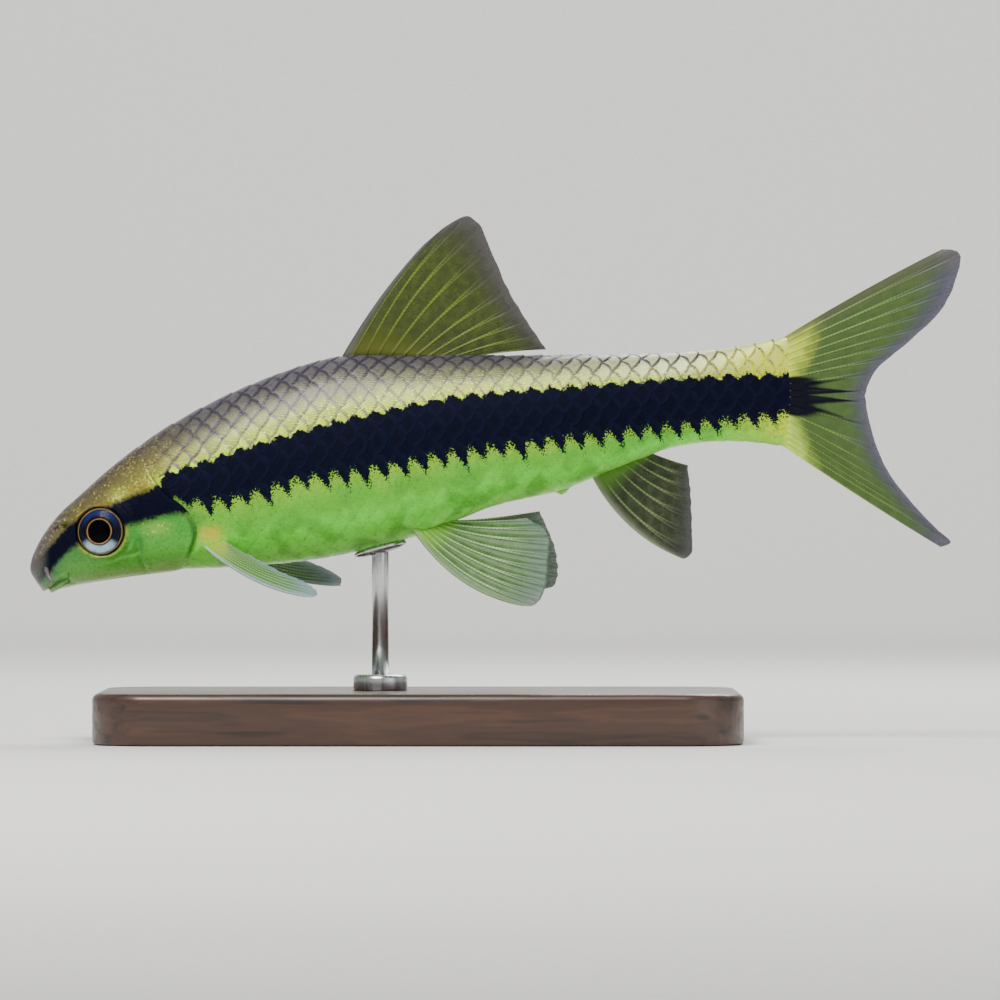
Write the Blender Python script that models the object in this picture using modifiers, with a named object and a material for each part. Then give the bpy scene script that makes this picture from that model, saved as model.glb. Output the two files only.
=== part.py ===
"""Siamese algae eater, a small river fish, as a still life-size model on a display stand.

Metres, +Z up. The snout points along -X and the fish's left side faces -Y. The plane Y = 0 cuts the fish
in two like halves. Z = 0 is the underside of the stand. The fish swims nose down, as it does when it feeds.
"""
import math

import bmesh
import bpy
import numpy as np
from mathutils import Matrix, Vector

MM = 0.001

# Driving sizes, in millimetres until mm() turns them into metres.
SNOUT_X = -55.0  # the tip of the snout
BODY_LENGTH = 89.6  # snout to the root of the tail fin
GILL_GAP = 0.40  # between head and trunk, measured along X
GAP = 0.30  # between any two pieces that meet
TRUNK_END = 64.6  # behind the snout, just past the vent
AROUND = 40  # points round one section of the head and trunk
TAIL_AROUND = 28

# The fish's outlines: (distance behind the snout, value).
BACK = [(0, 20.4), (0.5, 22.4), (1.2, 23.8), (1.9, 24.9), (3.6, 27.0), (5.9, 29.1), (9.4, 32.2),
        (15.4, 36.6), (20.1, 39.3), (28.4, 43.0), (36.7, 45.4), (45.0, 45.5), (63.5, 45.6),
        (76.9, 45.9), (81.6, 46.3), (89.6, 47.9)]
BELLY = [(0, 20.4), (0.5, 19.2), (1.2, 18.3), (2.2, 17.9), (5.9, 18.5), (13.0, 19.6), (20.1, 20.4),
         (26.0, 20.7), (36.7, 22.0), (45.2, 24.1), (55.6, 28.0), (63.5, 29.9), (69.8, 32.5),
         (76.9, 34.9), (81.6, 35.4), (85.1, 35.3), (89.6, 34.7)]
WIDEST_LEVEL = [(0, 20.4), (3.5, 22.0), (8.3, 24.1), (15.4, 26.8), (26.0, 30.1), (36.7, 32.3),
                (49.7, 34.8), (63.5, 37.4), (78.0, 40.3), (89.6, 41.2)]
HALF_WIDTH = [(0, 0.0), (0.5, 1.6), (1.2, 2.6), (2.4, 3.5), (5.0, 4.5), (8.3, 5.3), (13.0, 6.1),
              (20.0, 6.8), (28.0, 7.2), (36.7, 7.2), (45.0, 6.9), (55.6, 5.9), (63.5, 5.1),
              (73.0, 3.6), (80.0, 2.5), (85.0, 1.7), (89.6, 1.0)]
BACK_FULLNESS = 2.15  # power of the section above its widest level, 2 being an ellipse
BELLY_FULLNESS = 2.5

# The rear edge of the gill cover: (degrees round from the back, distance behind the snout).
GILL_MARGIN = [(0, 12.9), (40, 14.2), (68, 16.0), (95, 18.7), (115, 19.9), (143, 18.9), (180, 16.8)]
CHEEK_FOLD = [(0, 13.4), (60, 13.2), (95, 12.9), (130, 13.2), (180, 14.6)]
GILL_SWELL = 0.35
CHEEK_GROOVE = 0.22
GROOVE_WIDTH = 0.45

EYE_X = -46.6
EYE_Z = 24.8
EYE_RADIUS = 3.3
EYE_HALF_DEPTH = 1.8
EYE_PROUD = 0.9  # how far the eye stands out of the head
RIM_RADIUS = 3.45
RIM_THICK = 0.36
RIM_SUNK = 0.25  # how far the rim is sunk into the raised skin
ORBIT_SWELL = 0.45

NOSTRIL_X = -51.2
NOSTRIL_Z = 25.6
NOSTRIL_RADIUS = 0.52
NOSTRIL_RISE = 0.28
NOSTRIL_HOLE = 0.30
NOSTRIL_DEPTH = 0.6
MOUTH_X = -50.9  # middle of the curve that the lips follow
MOUTH_REACH = 2.2
MOUTH_HALF_WIDTH = 2.75
LIP_SPACING = 0.42
LIP_THICK = 0.36
LIP_PROUD = 0.25
MOUTH_LINE = 0.17  # half the width of the line between the lips
BARBEL_ROOT = (-52.9, 20.3)
BARBEL_REACH = (0.9, 1.3, -1.5)  # back, outward and down
BARBEL_THICK = 0.30
BARBEL_TAPER = 0.55

VENT_BEFORE_END = 1.6  # of the trunk
VENT_RADIUS = 0.55
VENT_REACH = 0.9
VENT_LEAN = (0.6, 0, -0.8)

RAY_FOOT = 0.30  # half the width of a ray's ridge
MEMBRANE = 0.26  # half the thickness of a fin between its rays
RIDGE = 0.19  # how far a ray stands out of each face at its root
MARGIN = 0.14  # half the thickness of a fin along its free edge
NOTCH = 0.35  # how far the edge steps in between two rays
TAIL_ROOT = 0.55  # extra half thickness where the tail fin leaves the body
TAIL_MIDDLE = 41.2  # height of the slit between the tail fin's two lobes

STAND_SIZE = (76.0, 42.0, 6.0)
STAND_X = -9.0
STAND_CORNER = 7.0
STAND_EDGE = 0.9
ROD_X = -13.6
ROD_RADIUS = 1.0
COLLAR_RADIUS = 3.2
COLLAR_HEIGHT = 1.6
CRADLE_HALF = (3.0, 2.2)
CRADLE_THICK = 0.9


def mm(value):
    """Millimetres, one number or many, as metres."""
    return np.asarray(value, float) * MM


def smooth_through(stops, at):
    """A curve through the stops, each a place and its value or values. Between two stops it is the cubic
    that has at each stop the slope of the line through its neighbours."""
    stops = np.asarray(stops, float)
    places = stops[:, 0]
    values = stops[:, 1:]
    slopes = np.gradient(values, places, axis=0)
    at = np.clip(np.asarray(at, float), places[0], places[-1])
    left = np.clip(np.searchsorted(places, at, side="right") - 1, 0, len(places) - 2)
    span = (places[left + 1] - places[left])[..., None]
    t = (at - places[left])[..., None] / span
    value = (
        (1 + 2 * t) * (1 - t) ** 2 * values[left]
        + t * (1 - t) ** 2 * span * slopes[left]
        + t**2 * (3 - 2 * t) * values[left + 1]
        + t**2 * (t - 1) * span * slopes[left + 1]
    )
    return value[..., 0] if values.shape[1] == 1 else value


def outline(stops, behind):
    """An outline's value at a distance behind the snout, in metres. It is smooth in the square root of that
    distance, which makes the nose round."""
    rooted = [(math.sqrt(place), value) for place, value in stops]
    return mm(smooth_through(rooted, np.sqrt(np.maximum(behind, 0) / MM)))


def step(low, high, at):
    """0 below low, 1 above high, and an even S between them."""
    t = np.clip((np.asarray(at, float) - low) / (high - low), 0, 1)
    return t * t * (3 - 2 * t)


def bell(distance, width):
    return np.exp(-((distance / width) ** 2))


def unit(vectors):
    return vectors / np.maximum(np.linalg.norm(vectors, axis=-1, keepdims=True), 1e-12)


def section_at(behind):
    """Widest level, heights above and below it, and half width of the body's section."""
    level = outline(WIDEST_LEVEL, behind)
    above = outline(BACK, behind) - level
    below = level - outline(BELLY, behind)
    return level, above, below, outline(HALF_WIDTH, behind)


def gill_margin(degrees):
    """Distance of the gill cover's edge behind the snout, at an angle of 0 to 360 round from the back."""
    folded = 180 - np.abs(180 - degrees)
    return mm(smooth_through(GILL_MARGIN, folded))


def head_relief(behind, degrees, height):
    """How far the head's skin stands out of the plain section: the gill cover swells towards its edge, a
    groove runs down the cheek, and the skin rises round the eye."""
    folded = 180 - np.abs(180 - degrees)
    side = step(35, 65, folded) * (1 - step(150, 175, folded))
    cover = mm(GILL_SWELL) * bell(gill_margin(degrees) - behind, mm(4.0)) * side
    fold = mm(smooth_through(CHEEK_FOLD, folded))
    groove = mm(CHEEK_GROOVE) * bell(behind - fold, mm(GROOVE_WIDTH)) * step(62, 80, folded)
    groove = groove * (1 - step(140, 165, folded))
    from_eye = np.hypot(behind - mm(EYE_X - SNOUT_X), height - mm(EYE_Z))
    orbit = mm(ORBIT_SWELL) * bell(from_eye - mm(EYE_RADIUS + 0.2), mm(1.0)) * side
    return cover - groove + orbit


def skin(behind, degrees, relief=None):
    """Points of the body's surface. A section is a superellipse about its widest level, fuller below it than
    above, and its radius at an angle is (|sin/width|^n + |cos/height|^n)^(-1/n)."""
    level, above, below, half_width = section_at(behind)
    turn = np.radians(degrees)
    upper = np.cos(turn) >= 0
    height = np.maximum(np.where(upper, above, below), 1e-7)
    power = np.where(upper, BACK_FULLNESS, BELLY_FULLNESS)
    wide = np.abs(np.sin(turn)) / np.maximum(half_width, 1e-7)
    tall = np.abs(np.cos(turn)) / height
    radius = (wide**power + tall**power) ** (-1 / power)
    if relief is not None:
        radius = radius + relief(behind, degrees, level + radius * np.cos(turn))
    x = mm(SNOUT_X) + behind + 0 * turn
    return np.stack([x, radius * np.sin(turn), level + radius * np.cos(turn)], axis=-1)


def flank(x, z, side):
    """The surface point at x and height z on one side, -1 for left, and the way out of the skin there."""

    def point(x_at, z_at):
        level, above, below, half_width = section_at(x_at - mm(SNOUT_X))
        power = BACK_FULLNESS if z_at > level else BELLY_FULLNESS
        share = min(abs(z_at - level) / (above if z_at > level else below), 0.999)
        return np.array([x_at, side * half_width * (1 - share**power) ** (1 / power), z_at])

    reach = mm(0.05)
    middle = point(x, z)
    out = unit(np.cross(point(x + reach, z) - middle, point(x, z + reach) - middle))
    return middle, out * np.sign(out[1] * side)


def underside(x, y):
    """Height of the body's lower surface."""
    level, _, below, half_width = section_at(np.asarray(x) - mm(SNOUT_X))
    share = np.clip(np.abs(y) / half_width, 0, 0.999)
    return level - below * (1 - share**BELLY_FULLNESS) ** (1 / BELLY_FULLNESS)


def material(name, colour, roughness, metallic=0.0):
    made = bpy.data.materials.new(name)
    made.use_nodes = True
    shader = made.node_tree.nodes["Principled BSDF"]
    shader.inputs["Base Color"].default_value = (*colour, 1)
    shader.inputs["Roughness"].default_value = roughness
    shader.inputs["Metallic"].default_value = metallic
    return made


def keep_outer(mesh):
    """Keeps the largest closed surface of a mesh, and turns its faces outwards."""
    work = bmesh.new()
    work.from_mesh(mesh)
    left = set(work.faces)
    shells = []
    while left:
        shell = {left.pop()}
        edge_of = list(shell)
        while edge_of:
            for edge in edge_of.pop().edges:
                for face in edge.link_faces:
                    if face in left:
                        left.discard(face)
                        shell.add(face)
                        edge_of.append(face)
        shells.append(shell)
    largest = max(shells, key=lambda shell: sum(face.calc_area() for face in shell))
    loose = [face for face in work.faces if face not in largest]
    bmesh.ops.delete(work, geom=loose, context="FACES")
    if work.calc_volume(signed=True) < 0:
        bmesh.ops.reverse_faces(work, faces=work.faces)
    work.to_mesh(mesh)
    work.free()


def solid(name, points, faces, look, collection):
    """A closed mesh object with its faces turned outwards."""
    mesh = bpy.data.meshes.new(name)
    mesh.from_pydata([tuple(point) for point in np.asarray(points)], [], [tuple(face) for face in faces])
    keep_outer(mesh)
    mesh.shade_smooth()
    mesh.materials.append(look)
    made = bpy.data.objects.new(name, mesh)
    collection.objects.link(made)
    return made


def loft(name, rings, ends, look, collection):
    """A closed surface through rings of points, with each end closed by a fan to its middle point."""
    count, around, _ = rings.shape
    points = np.concatenate([rings.reshape(-1, 3), np.asarray(ends)])
    faces = []
    for ring in range(count - 1):
        for k in range(around):
            a = ring * around + k
            b = ring * around + (k + 1) % around
            faces.append((a, b, b + around, a + around))
    first = count * around
    last_ring = (count - 1) * around
    for k in range(around):
        after = (k + 1) % around
        faces.append((after, k, first))
        faces.append((last_ring + k, last_ring + after, first + 1))
    return solid(name, points, faces, look, collection)


def applied(target):
    """Bakes a target's modifiers into its mesh."""
    bpy.context.view_layer.update()
    graph = bpy.context.evaluated_depsgraph_get()
    mesh = bpy.data.meshes.new_from_object(target.evaluated_get(graph))
    target.modifiers.clear()
    target.data = mesh
    keep_outer(mesh)
    mesh.shade_smooth()


def combine(target, pieces, operation):
    """Joins the pieces to the target, or cuts them out of it, and removes them."""
    bowl = bpy.data.collections.new("pieces of " + target.name)
    bpy.context.scene.collection.children.link(bowl)
    for piece in pieces:
        for home in list(piece.users_collection):
            home.objects.unlink(piece)
        bowl.objects.link(piece)
    change = target.modifiers.new(operation.title(), "BOOLEAN")
    change.operation = operation
    change.operand_type = "COLLECTION"
    change.collection = bowl
    change.solver = "EXACT"
    applied(target)
    for piece in pieces:
        bpy.data.objects.remove(piece)
    bpy.data.collections.remove(bowl)


def tube(name, path, thick, look, collection, closed=False, taper=None):
    """A round tube of half width thick along a path, made a welded mesh."""
    curve = bpy.data.curves.new(name, "CURVE")
    curve.dimensions = "3D"
    curve.bevel_depth = thick
    curve.bevel_resolution = 2
    curve.use_fill_caps = not closed
    spline = curve.splines.new("POLY")
    spline.points.add(len(path) - 1)
    for i, (place, point) in enumerate(zip(path, spline.points)):
        point.co = (*place, 1)
        point.radius = 1 if taper is None else taper[i]
    spline.use_cyclic_u = closed
    drawn = bpy.data.objects.new(name + " path", curve)
    collection.objects.link(drawn)
    bpy.context.view_layer.update()
    graph = bpy.context.evaluated_depsgraph_get()
    mesh = bpy.data.meshes.new_from_object(drawn.evaluated_get(graph))
    bpy.data.objects.remove(drawn)
    work = bmesh.new()
    work.from_mesh(mesh)
    bmesh.ops.remove_doubles(work, verts=work.verts, dist=1e-7)
    bmesh.ops.recalc_face_normals(work, faces=work.faces)
    work.to_mesh(mesh)
    work.free()
    mesh.materials.clear()
    mesh.materials.append(look)
    mesh.shade_smooth()
    made = bpy.data.objects.new(name, mesh)
    collection.objects.link(made)
    return made


def ellipsoid(name, middle, out, radius, half_depth, look, collection, segments=18):
    """A ball flattened along the direction out."""
    mesh = bpy.data.meshes.new(name)
    work = bmesh.new()
    bmesh.ops.create_uvsphere(work, u_segments=segments, v_segments=segments // 2, radius=1)
    turn = Vector(out).to_track_quat("Z", "Y").to_matrix().to_4x4()
    shape = Matrix.Translation(middle) @ turn @ Matrix.Diagonal((radius, radius, half_depth, 1))
    bmesh.ops.transform(work, matrix=shape, verts=work.verts)
    work.to_mesh(mesh)
    work.free()
    mesh.materials.append(look)
    mesh.shade_smooth()
    made = bpy.data.objects.new(name, mesh)
    collection.objects.link(made)
    return made


def body_rings(start, end, shares, degrees, relief=None):
    """Rings from one distance behind the snout to another, each given for every angle."""
    behind = start + (end - start) * shares[:, None] + 0 * degrees
    return skin(behind, degrees + 0 * behind, relief)


def make_head(look, collection):
    degrees = np.linspace(0, 360, AROUND, endpoint=False)
    shares = np.linspace(0, 1, 30)[1:] ** 1.5
    rings = body_rings(0, gill_margin(degrees), shares, degrees, head_relief)
    nose = mm((SNOUT_X, 0, BACK[0][1]))
    middle = rings[-1].mean(axis=0)
    head = loft("head", rings, [nose, middle], look, collection)
    added = []
    cut = []
    for side in (-1, 1):
        added.append(tube("eye rim", rim_path(side), mm(RIM_THICK), look, collection, closed=True))
        place, out = flank(mm(EYE_X), mm(EYE_Z), side)
        middle = place - out * mm(EYE_HALF_DEPTH - EYE_PROUD)
        cut.append(ellipsoid("socket", middle, out, mm(EYE_RADIUS + GAP), mm(EYE_HALF_DEPTH + GAP), look,
                             collection))
        place, out = flank(mm(NOSTRIL_X), mm(NOSTRIL_Z), side)
        added.append(ellipsoid("nostril rim", place, out, mm(NOSTRIL_RADIUS), mm(NOSTRIL_RISE), look, collection, 12))
        cut.append(ellipsoid("nostril", place, out, mm(NOSTRIL_HOLE), mm(NOSTRIL_DEPTH), look, collection, 10))
    for reach in (MOUTH_REACH + LIP_SPACING, MOUTH_REACH - LIP_SPACING):
        path = lip_path(reach, 0.0)
        taper = 0.35 + 0.65 * np.sin(np.linspace(0.15, math.pi - 0.15, len(path)))
        added.append(tube("lip", path, mm(LIP_THICK), look, collection, taper=taper))
    cut.append(tube("line of the mouth", lip_path(MOUTH_REACH, LIP_PROUD), mm(MOUTH_LINE), look, collection))
    combine(head, added, "UNION")
    combine(head, cut, "DIFFERENCE")
    return head


def rim_path(side):
    """A ring round the eye that lies on the raised skin."""
    path = []
    for turn in np.linspace(0, 2 * math.pi, 22, endpoint=False):
        x = mm(EYE_X + RIM_RADIUS * math.cos(turn))
        z = mm(EYE_Z + RIM_RADIUS * math.sin(turn))
        place, out = flank(x, z, side)
        path.append(place + out * mm(ORBIT_SWELL - RIM_SUNK))
    return path


def lip_path(reach, proud):
    """Half an ellipse under the snout, from one corner of the mouth to the other round its front."""
    turn = np.radians(np.linspace(-84, 84, 15))
    half_width = MOUTH_HALF_WIDTH + 0.5 * (reach - MOUTH_REACH)
    x = mm(MOUTH_X - reach * np.cos(turn))
    y = mm(half_width * np.sin(turn))
    return np.stack([x, y, underside(x, y) - mm(proud)], axis=-1)


def make_trunk(look, collection):
    degrees = np.linspace(0, 360, AROUND, endpoint=False)
    shares = np.linspace(0, 1, 21)
    start = gill_margin(degrees) + mm(GILL_GAP)
    rings = body_rings(start, mm(TRUNK_END), shares, degrees)
    middles = [rings[0].mean(axis=0), rings[-1].mean(axis=0)]
    trunk = loft("trunk", rings, middles, look, collection)
    vent_x = mm(SNOUT_X + TRUNK_END - VENT_BEFORE_END)
    vent = (vent_x, 0, underside(vent_x, 0.0))
    papilla = ellipsoid("vent", vent, VENT_LEAN, mm(VENT_RADIUS), mm(VENT_REACH), look, collection, 12)
    combine(trunk, [papilla], "UNION")
    return trunk


def make_tail_stalk(look, collection):
    degrees = np.linspace(0, 360, TAIL_AROUND, endpoint=False)
    rings = body_rings(mm(TRUNK_END + GAP), mm(BODY_LENGTH), np.linspace(0, 1, 13), degrees)
    middles = [rings[0].mean(axis=0), rings[-1].mean(axis=0)]
    return loft("tail_stalk", rings, middles, look, collection)


def make_eyes(look, collection):
    for name, side in (("eye_left", -1), ("eye_right", 1)):
        place, out = flank(mm(EYE_X), mm(EYE_Z), side)
        middle = place - out * mm(EYE_HALF_DEPTH - EYE_PROUD)
        ellipsoid(name, middle, out, mm(EYE_RADIUS), mm(EYE_HALF_DEPTH), look, collection)


def make_barbels(look, collection):
    for name, side in (("barbel_left", -1), ("barbel_right", 1)):
        place, out = flank(mm(BARBEL_ROOT[0]), mm(BARBEL_ROOT[1]), side)
        root = place + out * mm(GAP)
        reach = mm(BARBEL_REACH) * (1, side, 1)
        share = np.linspace(0, 1, 7)[:, None]
        path = root + out * mm(0.5) * share * (1 - share) * 2 + reach * share
        tube(name, path, mm(BARBEL_THICK), look, collection, taper=1 - BARBEL_TAPER * share[:, 0])


def ray_lines(roots, tips, bends, rows):
    """Centre lines of the rays, rows by rays by three. Each is a curve from root to tip drawn towards a
    third point, which stands off the middle of the straight line by the ray's bend."""
    share = np.linspace(0, 1, rows)[:, None, None]
    pull = (roots + tips) / 2 + bends
    return (1 - share) ** 2 * roots + 2 * share * (1 - share) * pull + share**2 * tips


def ridged_fin(name, lines, root_extra, look, collection):
    """A closed fin whose rays are ridges raised in its own two faces. Each ray takes three columns, its crest
    and a foot on either side, and both faces are split into triangles the same way."""
    rows, rays, _ = lines.shape
    share = np.linspace(0, 1, rows)[:, None]
    along = np.gradient(lines, axis=0)
    across = np.gradient(lines, axis=1)
    face_out = unit(np.cross(across, along))
    square = unit(np.cross(along, face_out))
    square *= np.sign((square * across).sum(axis=-1, keepdims=True))
    blend = (step(0, 0.25, share) - step(0.75, 1, share))[..., None]
    sideways = unit(unit(across) * (1 - blend) + square * blend)
    room = np.linalg.norm(np.cross(across, unit(along)), axis=-1)
    lean = np.linalg.norm(np.cross(sideways, unit(along)), axis=-1)
    foot = (np.minimum(mm(RAY_FOOT), 0.36 * room) / lean)[..., None]
    pulled = lines - unit(along) * (mm(NOTCH) * (share == 1))[..., None]
    columns = np.stack([pulled - sideways * foot, lines, pulled + sideways * foot], axis=2)
    columns = columns.reshape(rows, rays * 3, 3)
    thin = step(0.86, 1.0, share)
    flat = mm(MEMBRANE + root_extra * (1 - step(0, 0.3, share))) * (1 - thin) + mm(MARGIN) * thin
    rise = np.minimum(mm(RIDGE) * (1 - 0.65 * share), 0.6 * room) * (1 - thin) + mm(0.02)
    flat = np.broadcast_to(flat, (rows, rays))
    half = np.stack([flat, flat + rise, flat], axis=2).reshape(rows, rays * 3, 1)
    outward = face_out.repeat(3, axis=1)
    return closed_sheet(name, columns + outward * half, columns - outward * half, look, collection)


def closed_sheet(name, front, rear, look, collection):
    """Closes two like grids of points into one body, with the same diagonals on both faces."""
    rows, columns, _ = front.shape
    index = np.arange(rows * columns).reshape(rows, columns)
    a = index[:-1, :-1].ravel()
    b = index[:-1, 1:].ravel()
    c = index[1:, 1:].ravel()
    d = index[1:, :-1].ravel()
    face = np.concatenate([np.stack([a, b, c], axis=1), np.stack([a, c, d], axis=1)])
    edge = np.concatenate([index[0, :-1], index[:-1, -1], index[-1, :0:-1], index[:0:-1, 0]])
    after = np.roll(edge, -1)
    size = rows * columns
    rim = np.concatenate([np.stack([after, edge, edge + size], axis=1),
                          np.stack([after, edge + size, after + size], axis=1)])
    faces = np.concatenate([face, face[:, ::-1] + size, rim])
    points = np.concatenate([front.reshape(-1, 3), rear.reshape(-1, 3)])
    return solid(name, points, faces.tolist(), look, collection)


def in_plane(pairs):
    """Points of the plane Y = 0 from (x, z) pairs."""
    pairs = np.asarray(pairs, float)
    return np.stack([pairs[..., 0], 0 * pairs[..., 0], pairs[..., 1]], axis=-1)


def make_dorsal_fin(look, collection):
    rays = np.linspace(0, 1, 11)
    root_x = mm(smooth_through([(0, -18.2), (0.5, -11.4), (0.8, -7.6), (1, -5.4)], rays))
    root_z = outline(BACK, root_x - mm(SNOUT_X)) + mm(GAP)
    roots = in_plane(np.stack([root_x, root_z], axis=-1))
    tips = in_plane(mm(smooth_through(
        [(0, -3.2, 62.1), (0.2, -2.1, 61.2), (0.4, -0.8, 58.2), (0.6, 1.4, 53.2), (0.8, 3.7, 49.6),
         (1, 6.1, 46.5)], rays)))
    bends = in_plane(mm(smooth_through([(0, -2.4, 1.7), (0.5, -0.8, 0.8), (1, 0.0, 0.6)], rays)))
    ridged_fin("dorsal_fin", ray_lines(roots, tips, bends, 9), 0.1, look, collection)


def make_anal_fin(look, collection):
    rays = np.linspace(0, 1, 8)
    root_x = mm(smooth_through([(0, 11.2), (0.5, 14.4), (1, 17.8)], rays))
    root_z = outline(BELLY, root_x - mm(SNOUT_X)) - mm(GAP)
    roots = in_plane(np.stack([root_x, root_z], axis=-1))
    tips = in_plane(mm(smooth_through(
        [(0, 22.4, 21.5), (0.15, 23.1, 22.6), (0.3, 23.3, 24.6), (0.6, 23.2, 28.6), (1, 22.8, 32.6)], rays)))
    bends = in_plane(mm(smooth_through([(0, -1.2, -1.4), (1, 0.0, -0.2)], rays)))
    ridged_fin("anal_fin", ray_lines(roots, tips, bends, 9), 0.1, look, collection)


def make_tail_fin(look, collection):
    """Two lobes with a slit between their middle rays, as wide as the gap that pieces keep."""
    root_x = SNOUT_X + BODY_LENGTH + GAP
    slit = GAP / 2 + 0.26
    upper = [(0, 54.5, 58.2), (0.1, 55.0, 57.1), (0.25, 54.4, 54.9), (0.45, 52.6, 51.0),
             (0.67, 48.8, 47.1), (0.88, 44.9, 43.6), (1, 44.0, 41.2)]
    lower = [(0, 53.5, 22.9), (0.1, 53.8, 23.5), (0.25, 52.2, 25.1), (0.45, 49.2, 28.3),
             (0.67, 46.2, 32.4), (0.88, 44.3, 37.3), (1, 44.0, 40.2)]
    for name, rays, edge, middle, outline_of_tips, sag in (
        ("tail_fin_upper", 10, 47.6, TAIL_MIDDLE + slit, upper, 0.3),
        ("tail_fin_lower", 9, 35.0, TAIL_MIDDLE - slit, lower, -0.2),
    ):
        share = np.linspace(0, 1, rays)
        root_z = edge + (middle - edge) * share
        roots = in_plane(mm(np.stack([root_x + 0 * share, root_z], axis=-1)))
        tips = in_plane(mm(smooth_through(outline_of_tips, share)))
        bends = in_plane(mm(np.stack([0 * share, sag * (1 - share)], axis=-1)))
        ridged_fin(name, ray_lines(roots, tips, bends, 10), TAIL_ROOT, look, collection)


def make_pectoral_fins(look, collection):
    """The left fin is held lower and further out than the right one."""
    sides = (
        ("pectoral_fin_left", -1, [(0, -20.1, 17.4, 17.6), (0.25, -19.9, 15.3, 18.0), (0.5, -21.6, 12.6, 19.2),
                                   (0.75, -24.4, 9.9, 20.6), (1, -27.8, 7.0, 22.5)]),
        ("pectoral_fin_right", 1, [(0, -18.6, 16.6, 18.3), (0.25, -18.5, 14.6, 19.1), (0.5, -20.2, 12.0, 20.3),
                                   (0.75, -23.4, 9.5, 21.5), (1, -27.4, 6.9, 22.9)]),
    )
    rays = np.linspace(0, 1, 9)
    root_at = mm(smooth_through([(0, -34.6, 22.5), (1, -31.4, 23.4)], rays))
    for name, side, outline_of_tips in sides:
        found = [flank(x, z, side) for x, z in root_at]
        roots = np.array([place + out * mm(GAP + MEMBRANE + 0.15) for place, out in found])
        tips = mm(smooth_through(outline_of_tips, rays)) * (1, side, 1)
        bends = mm((0.0, 1.2 * side, -0.4)) * (1 - 0.6 * rays)[:, None]
        ridged_fin(name, ray_lines(roots, tips, bends, 8), 0.0, look, collection)


def make_pelvic_fins(look, collection):
    """The left fin points further down than the right one."""
    sides = (
        ("pelvic_fin_left", -1, [(0, 3.9, 9.4, 16.1), (0.15, 5.0, 9.0, 16.7), (0.3, 5.6, 8.3, 17.8),
                                 (0.6, 5.7, 6.6, 20.4), (1, 3.9, 4.2, 23.6)]),
        ("pelvic_fin_right", 1, [(0, 6.4, 8.8, 18.1), (0.15, 7.2, 8.3, 18.8), (0.3, 7.3, 7.6, 19.9),
                                 (0.6, 6.8, 6.2, 22.2), (1, 4.8, 4.2, 24.9)]),
    )
    rays = np.linspace(0, 1, 9)
    root_at = mm(smooth_through([(0, -9.4, 3.7), (1, -6.2, 1.7)], rays))
    for name, side, outline_of_tips in sides:
        drop = mm(GAP + 0.22)
        roots = np.stack([root_at[:, 0], side * root_at[:, 1], underside(*root_at.T) - drop], axis=-1)
        tips = mm(smooth_through(outline_of_tips, rays)) * (1, side, 1)
        bends = mm((-0.9, 0.6 * side, -1.6)) * (1 - 0.8 * rays)[:, None]
        ridged_fin(name, ray_lines(roots, tips, bends, 8), 0.0, look, collection)


def make_stand(wood, steel, collection):
    length, width, height = mm(STAND_SIZE)
    mesh = bpy.data.meshes.new("stand_base")
    work = bmesh.new()
    bmesh.ops.create_cube(work, size=1)
    place = Matrix.Translation((mm(STAND_X), 0, height / 2)) @ Matrix.Diagonal((length, width, height, 1))
    bmesh.ops.transform(work, matrix=place, verts=work.verts)
    upright = [edge for edge in work.edges if abs(edge.verts[0].co.z - edge.verts[1].co.z) > height / 2]
    bmesh.ops.bevel(work, geom=upright, offset=mm(STAND_CORNER), segments=6, profile=0.5, affect="EDGES")
    top = [edge for edge in work.edges if min(vert.co.z for vert in edge.verts) > height * 0.99]
    bmesh.ops.bevel(work, geom=top, offset=mm(STAND_EDGE), segments=3, profile=0.5, affect="EDGES")
    work.to_mesh(mesh)
    work.free()
    mesh.materials.append(wood)
    collection.objects.link(bpy.data.objects.new("stand_base", mesh))
    make_cradle(steel, collection)
    make_rod(steel, collection)
    make_collar(steel, collection)


def under_belly(x, y, drop):
    """A height that keeps a distance under the belly beside the rod."""
    return underside(mm(ROD_X) + x, y) - mm(drop)


def make_cradle(look, collection):
    """A thin oval pad that follows the belly."""
    turn = np.linspace(0, 2 * math.pi, 20, endpoint=False)
    rings = []
    for share, drop in ((0.45, GAP), (0.85, GAP), (1.0, GAP + 0.25), (1.0, GAP + 0.65),
                        (0.8, GAP + CRADLE_THICK), (0.4, GAP + CRADLE_THICK)):
        x = mm(CRADLE_HALF[0]) * share * np.cos(turn)
        y = mm(CRADLE_HALF[1]) * share * np.sin(turn)
        rings.append(np.stack([mm(ROD_X) + x, y, under_belly(x, y, drop)], axis=-1))
    ends = [(mm(ROD_X), 0, under_belly(0, 0, GAP)), (mm(ROD_X), 0, under_belly(0, 0, GAP + CRADLE_THICK))]
    loft("stand_cradle", np.array(rings), ends, look, collection)


def make_rod(look, collection):
    mesh = bpy.data.meshes.new("stand_rod")
    work = bmesh.new()
    bmesh.ops.create_cone(work, cap_ends=True, segments=20, radius1=mm(ROD_RADIUS), radius2=mm(ROD_RADIUS), depth=1)
    foot = mm(STAND_SIZE[2] + GAP)
    for vert in work.verts:
        top = under_belly(vert.co.x, vert.co.y, 2 * GAP + CRADLE_THICK)
        vert.co = (mm(ROD_X) + vert.co.x, vert.co.y, top if vert.co.z > 0 else foot)
    bmesh.ops.triangulate(work, faces=[face for face in work.faces if len(face.verts) > 4])
    work.to_mesh(mesh)
    work.free()
    mesh.materials.append(look)
    mesh.shade_smooth()
    mesh.set_sharp_from_angle(angle=math.radians(40))
    collection.objects.link(bpy.data.objects.new("stand_rod", mesh))


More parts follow.
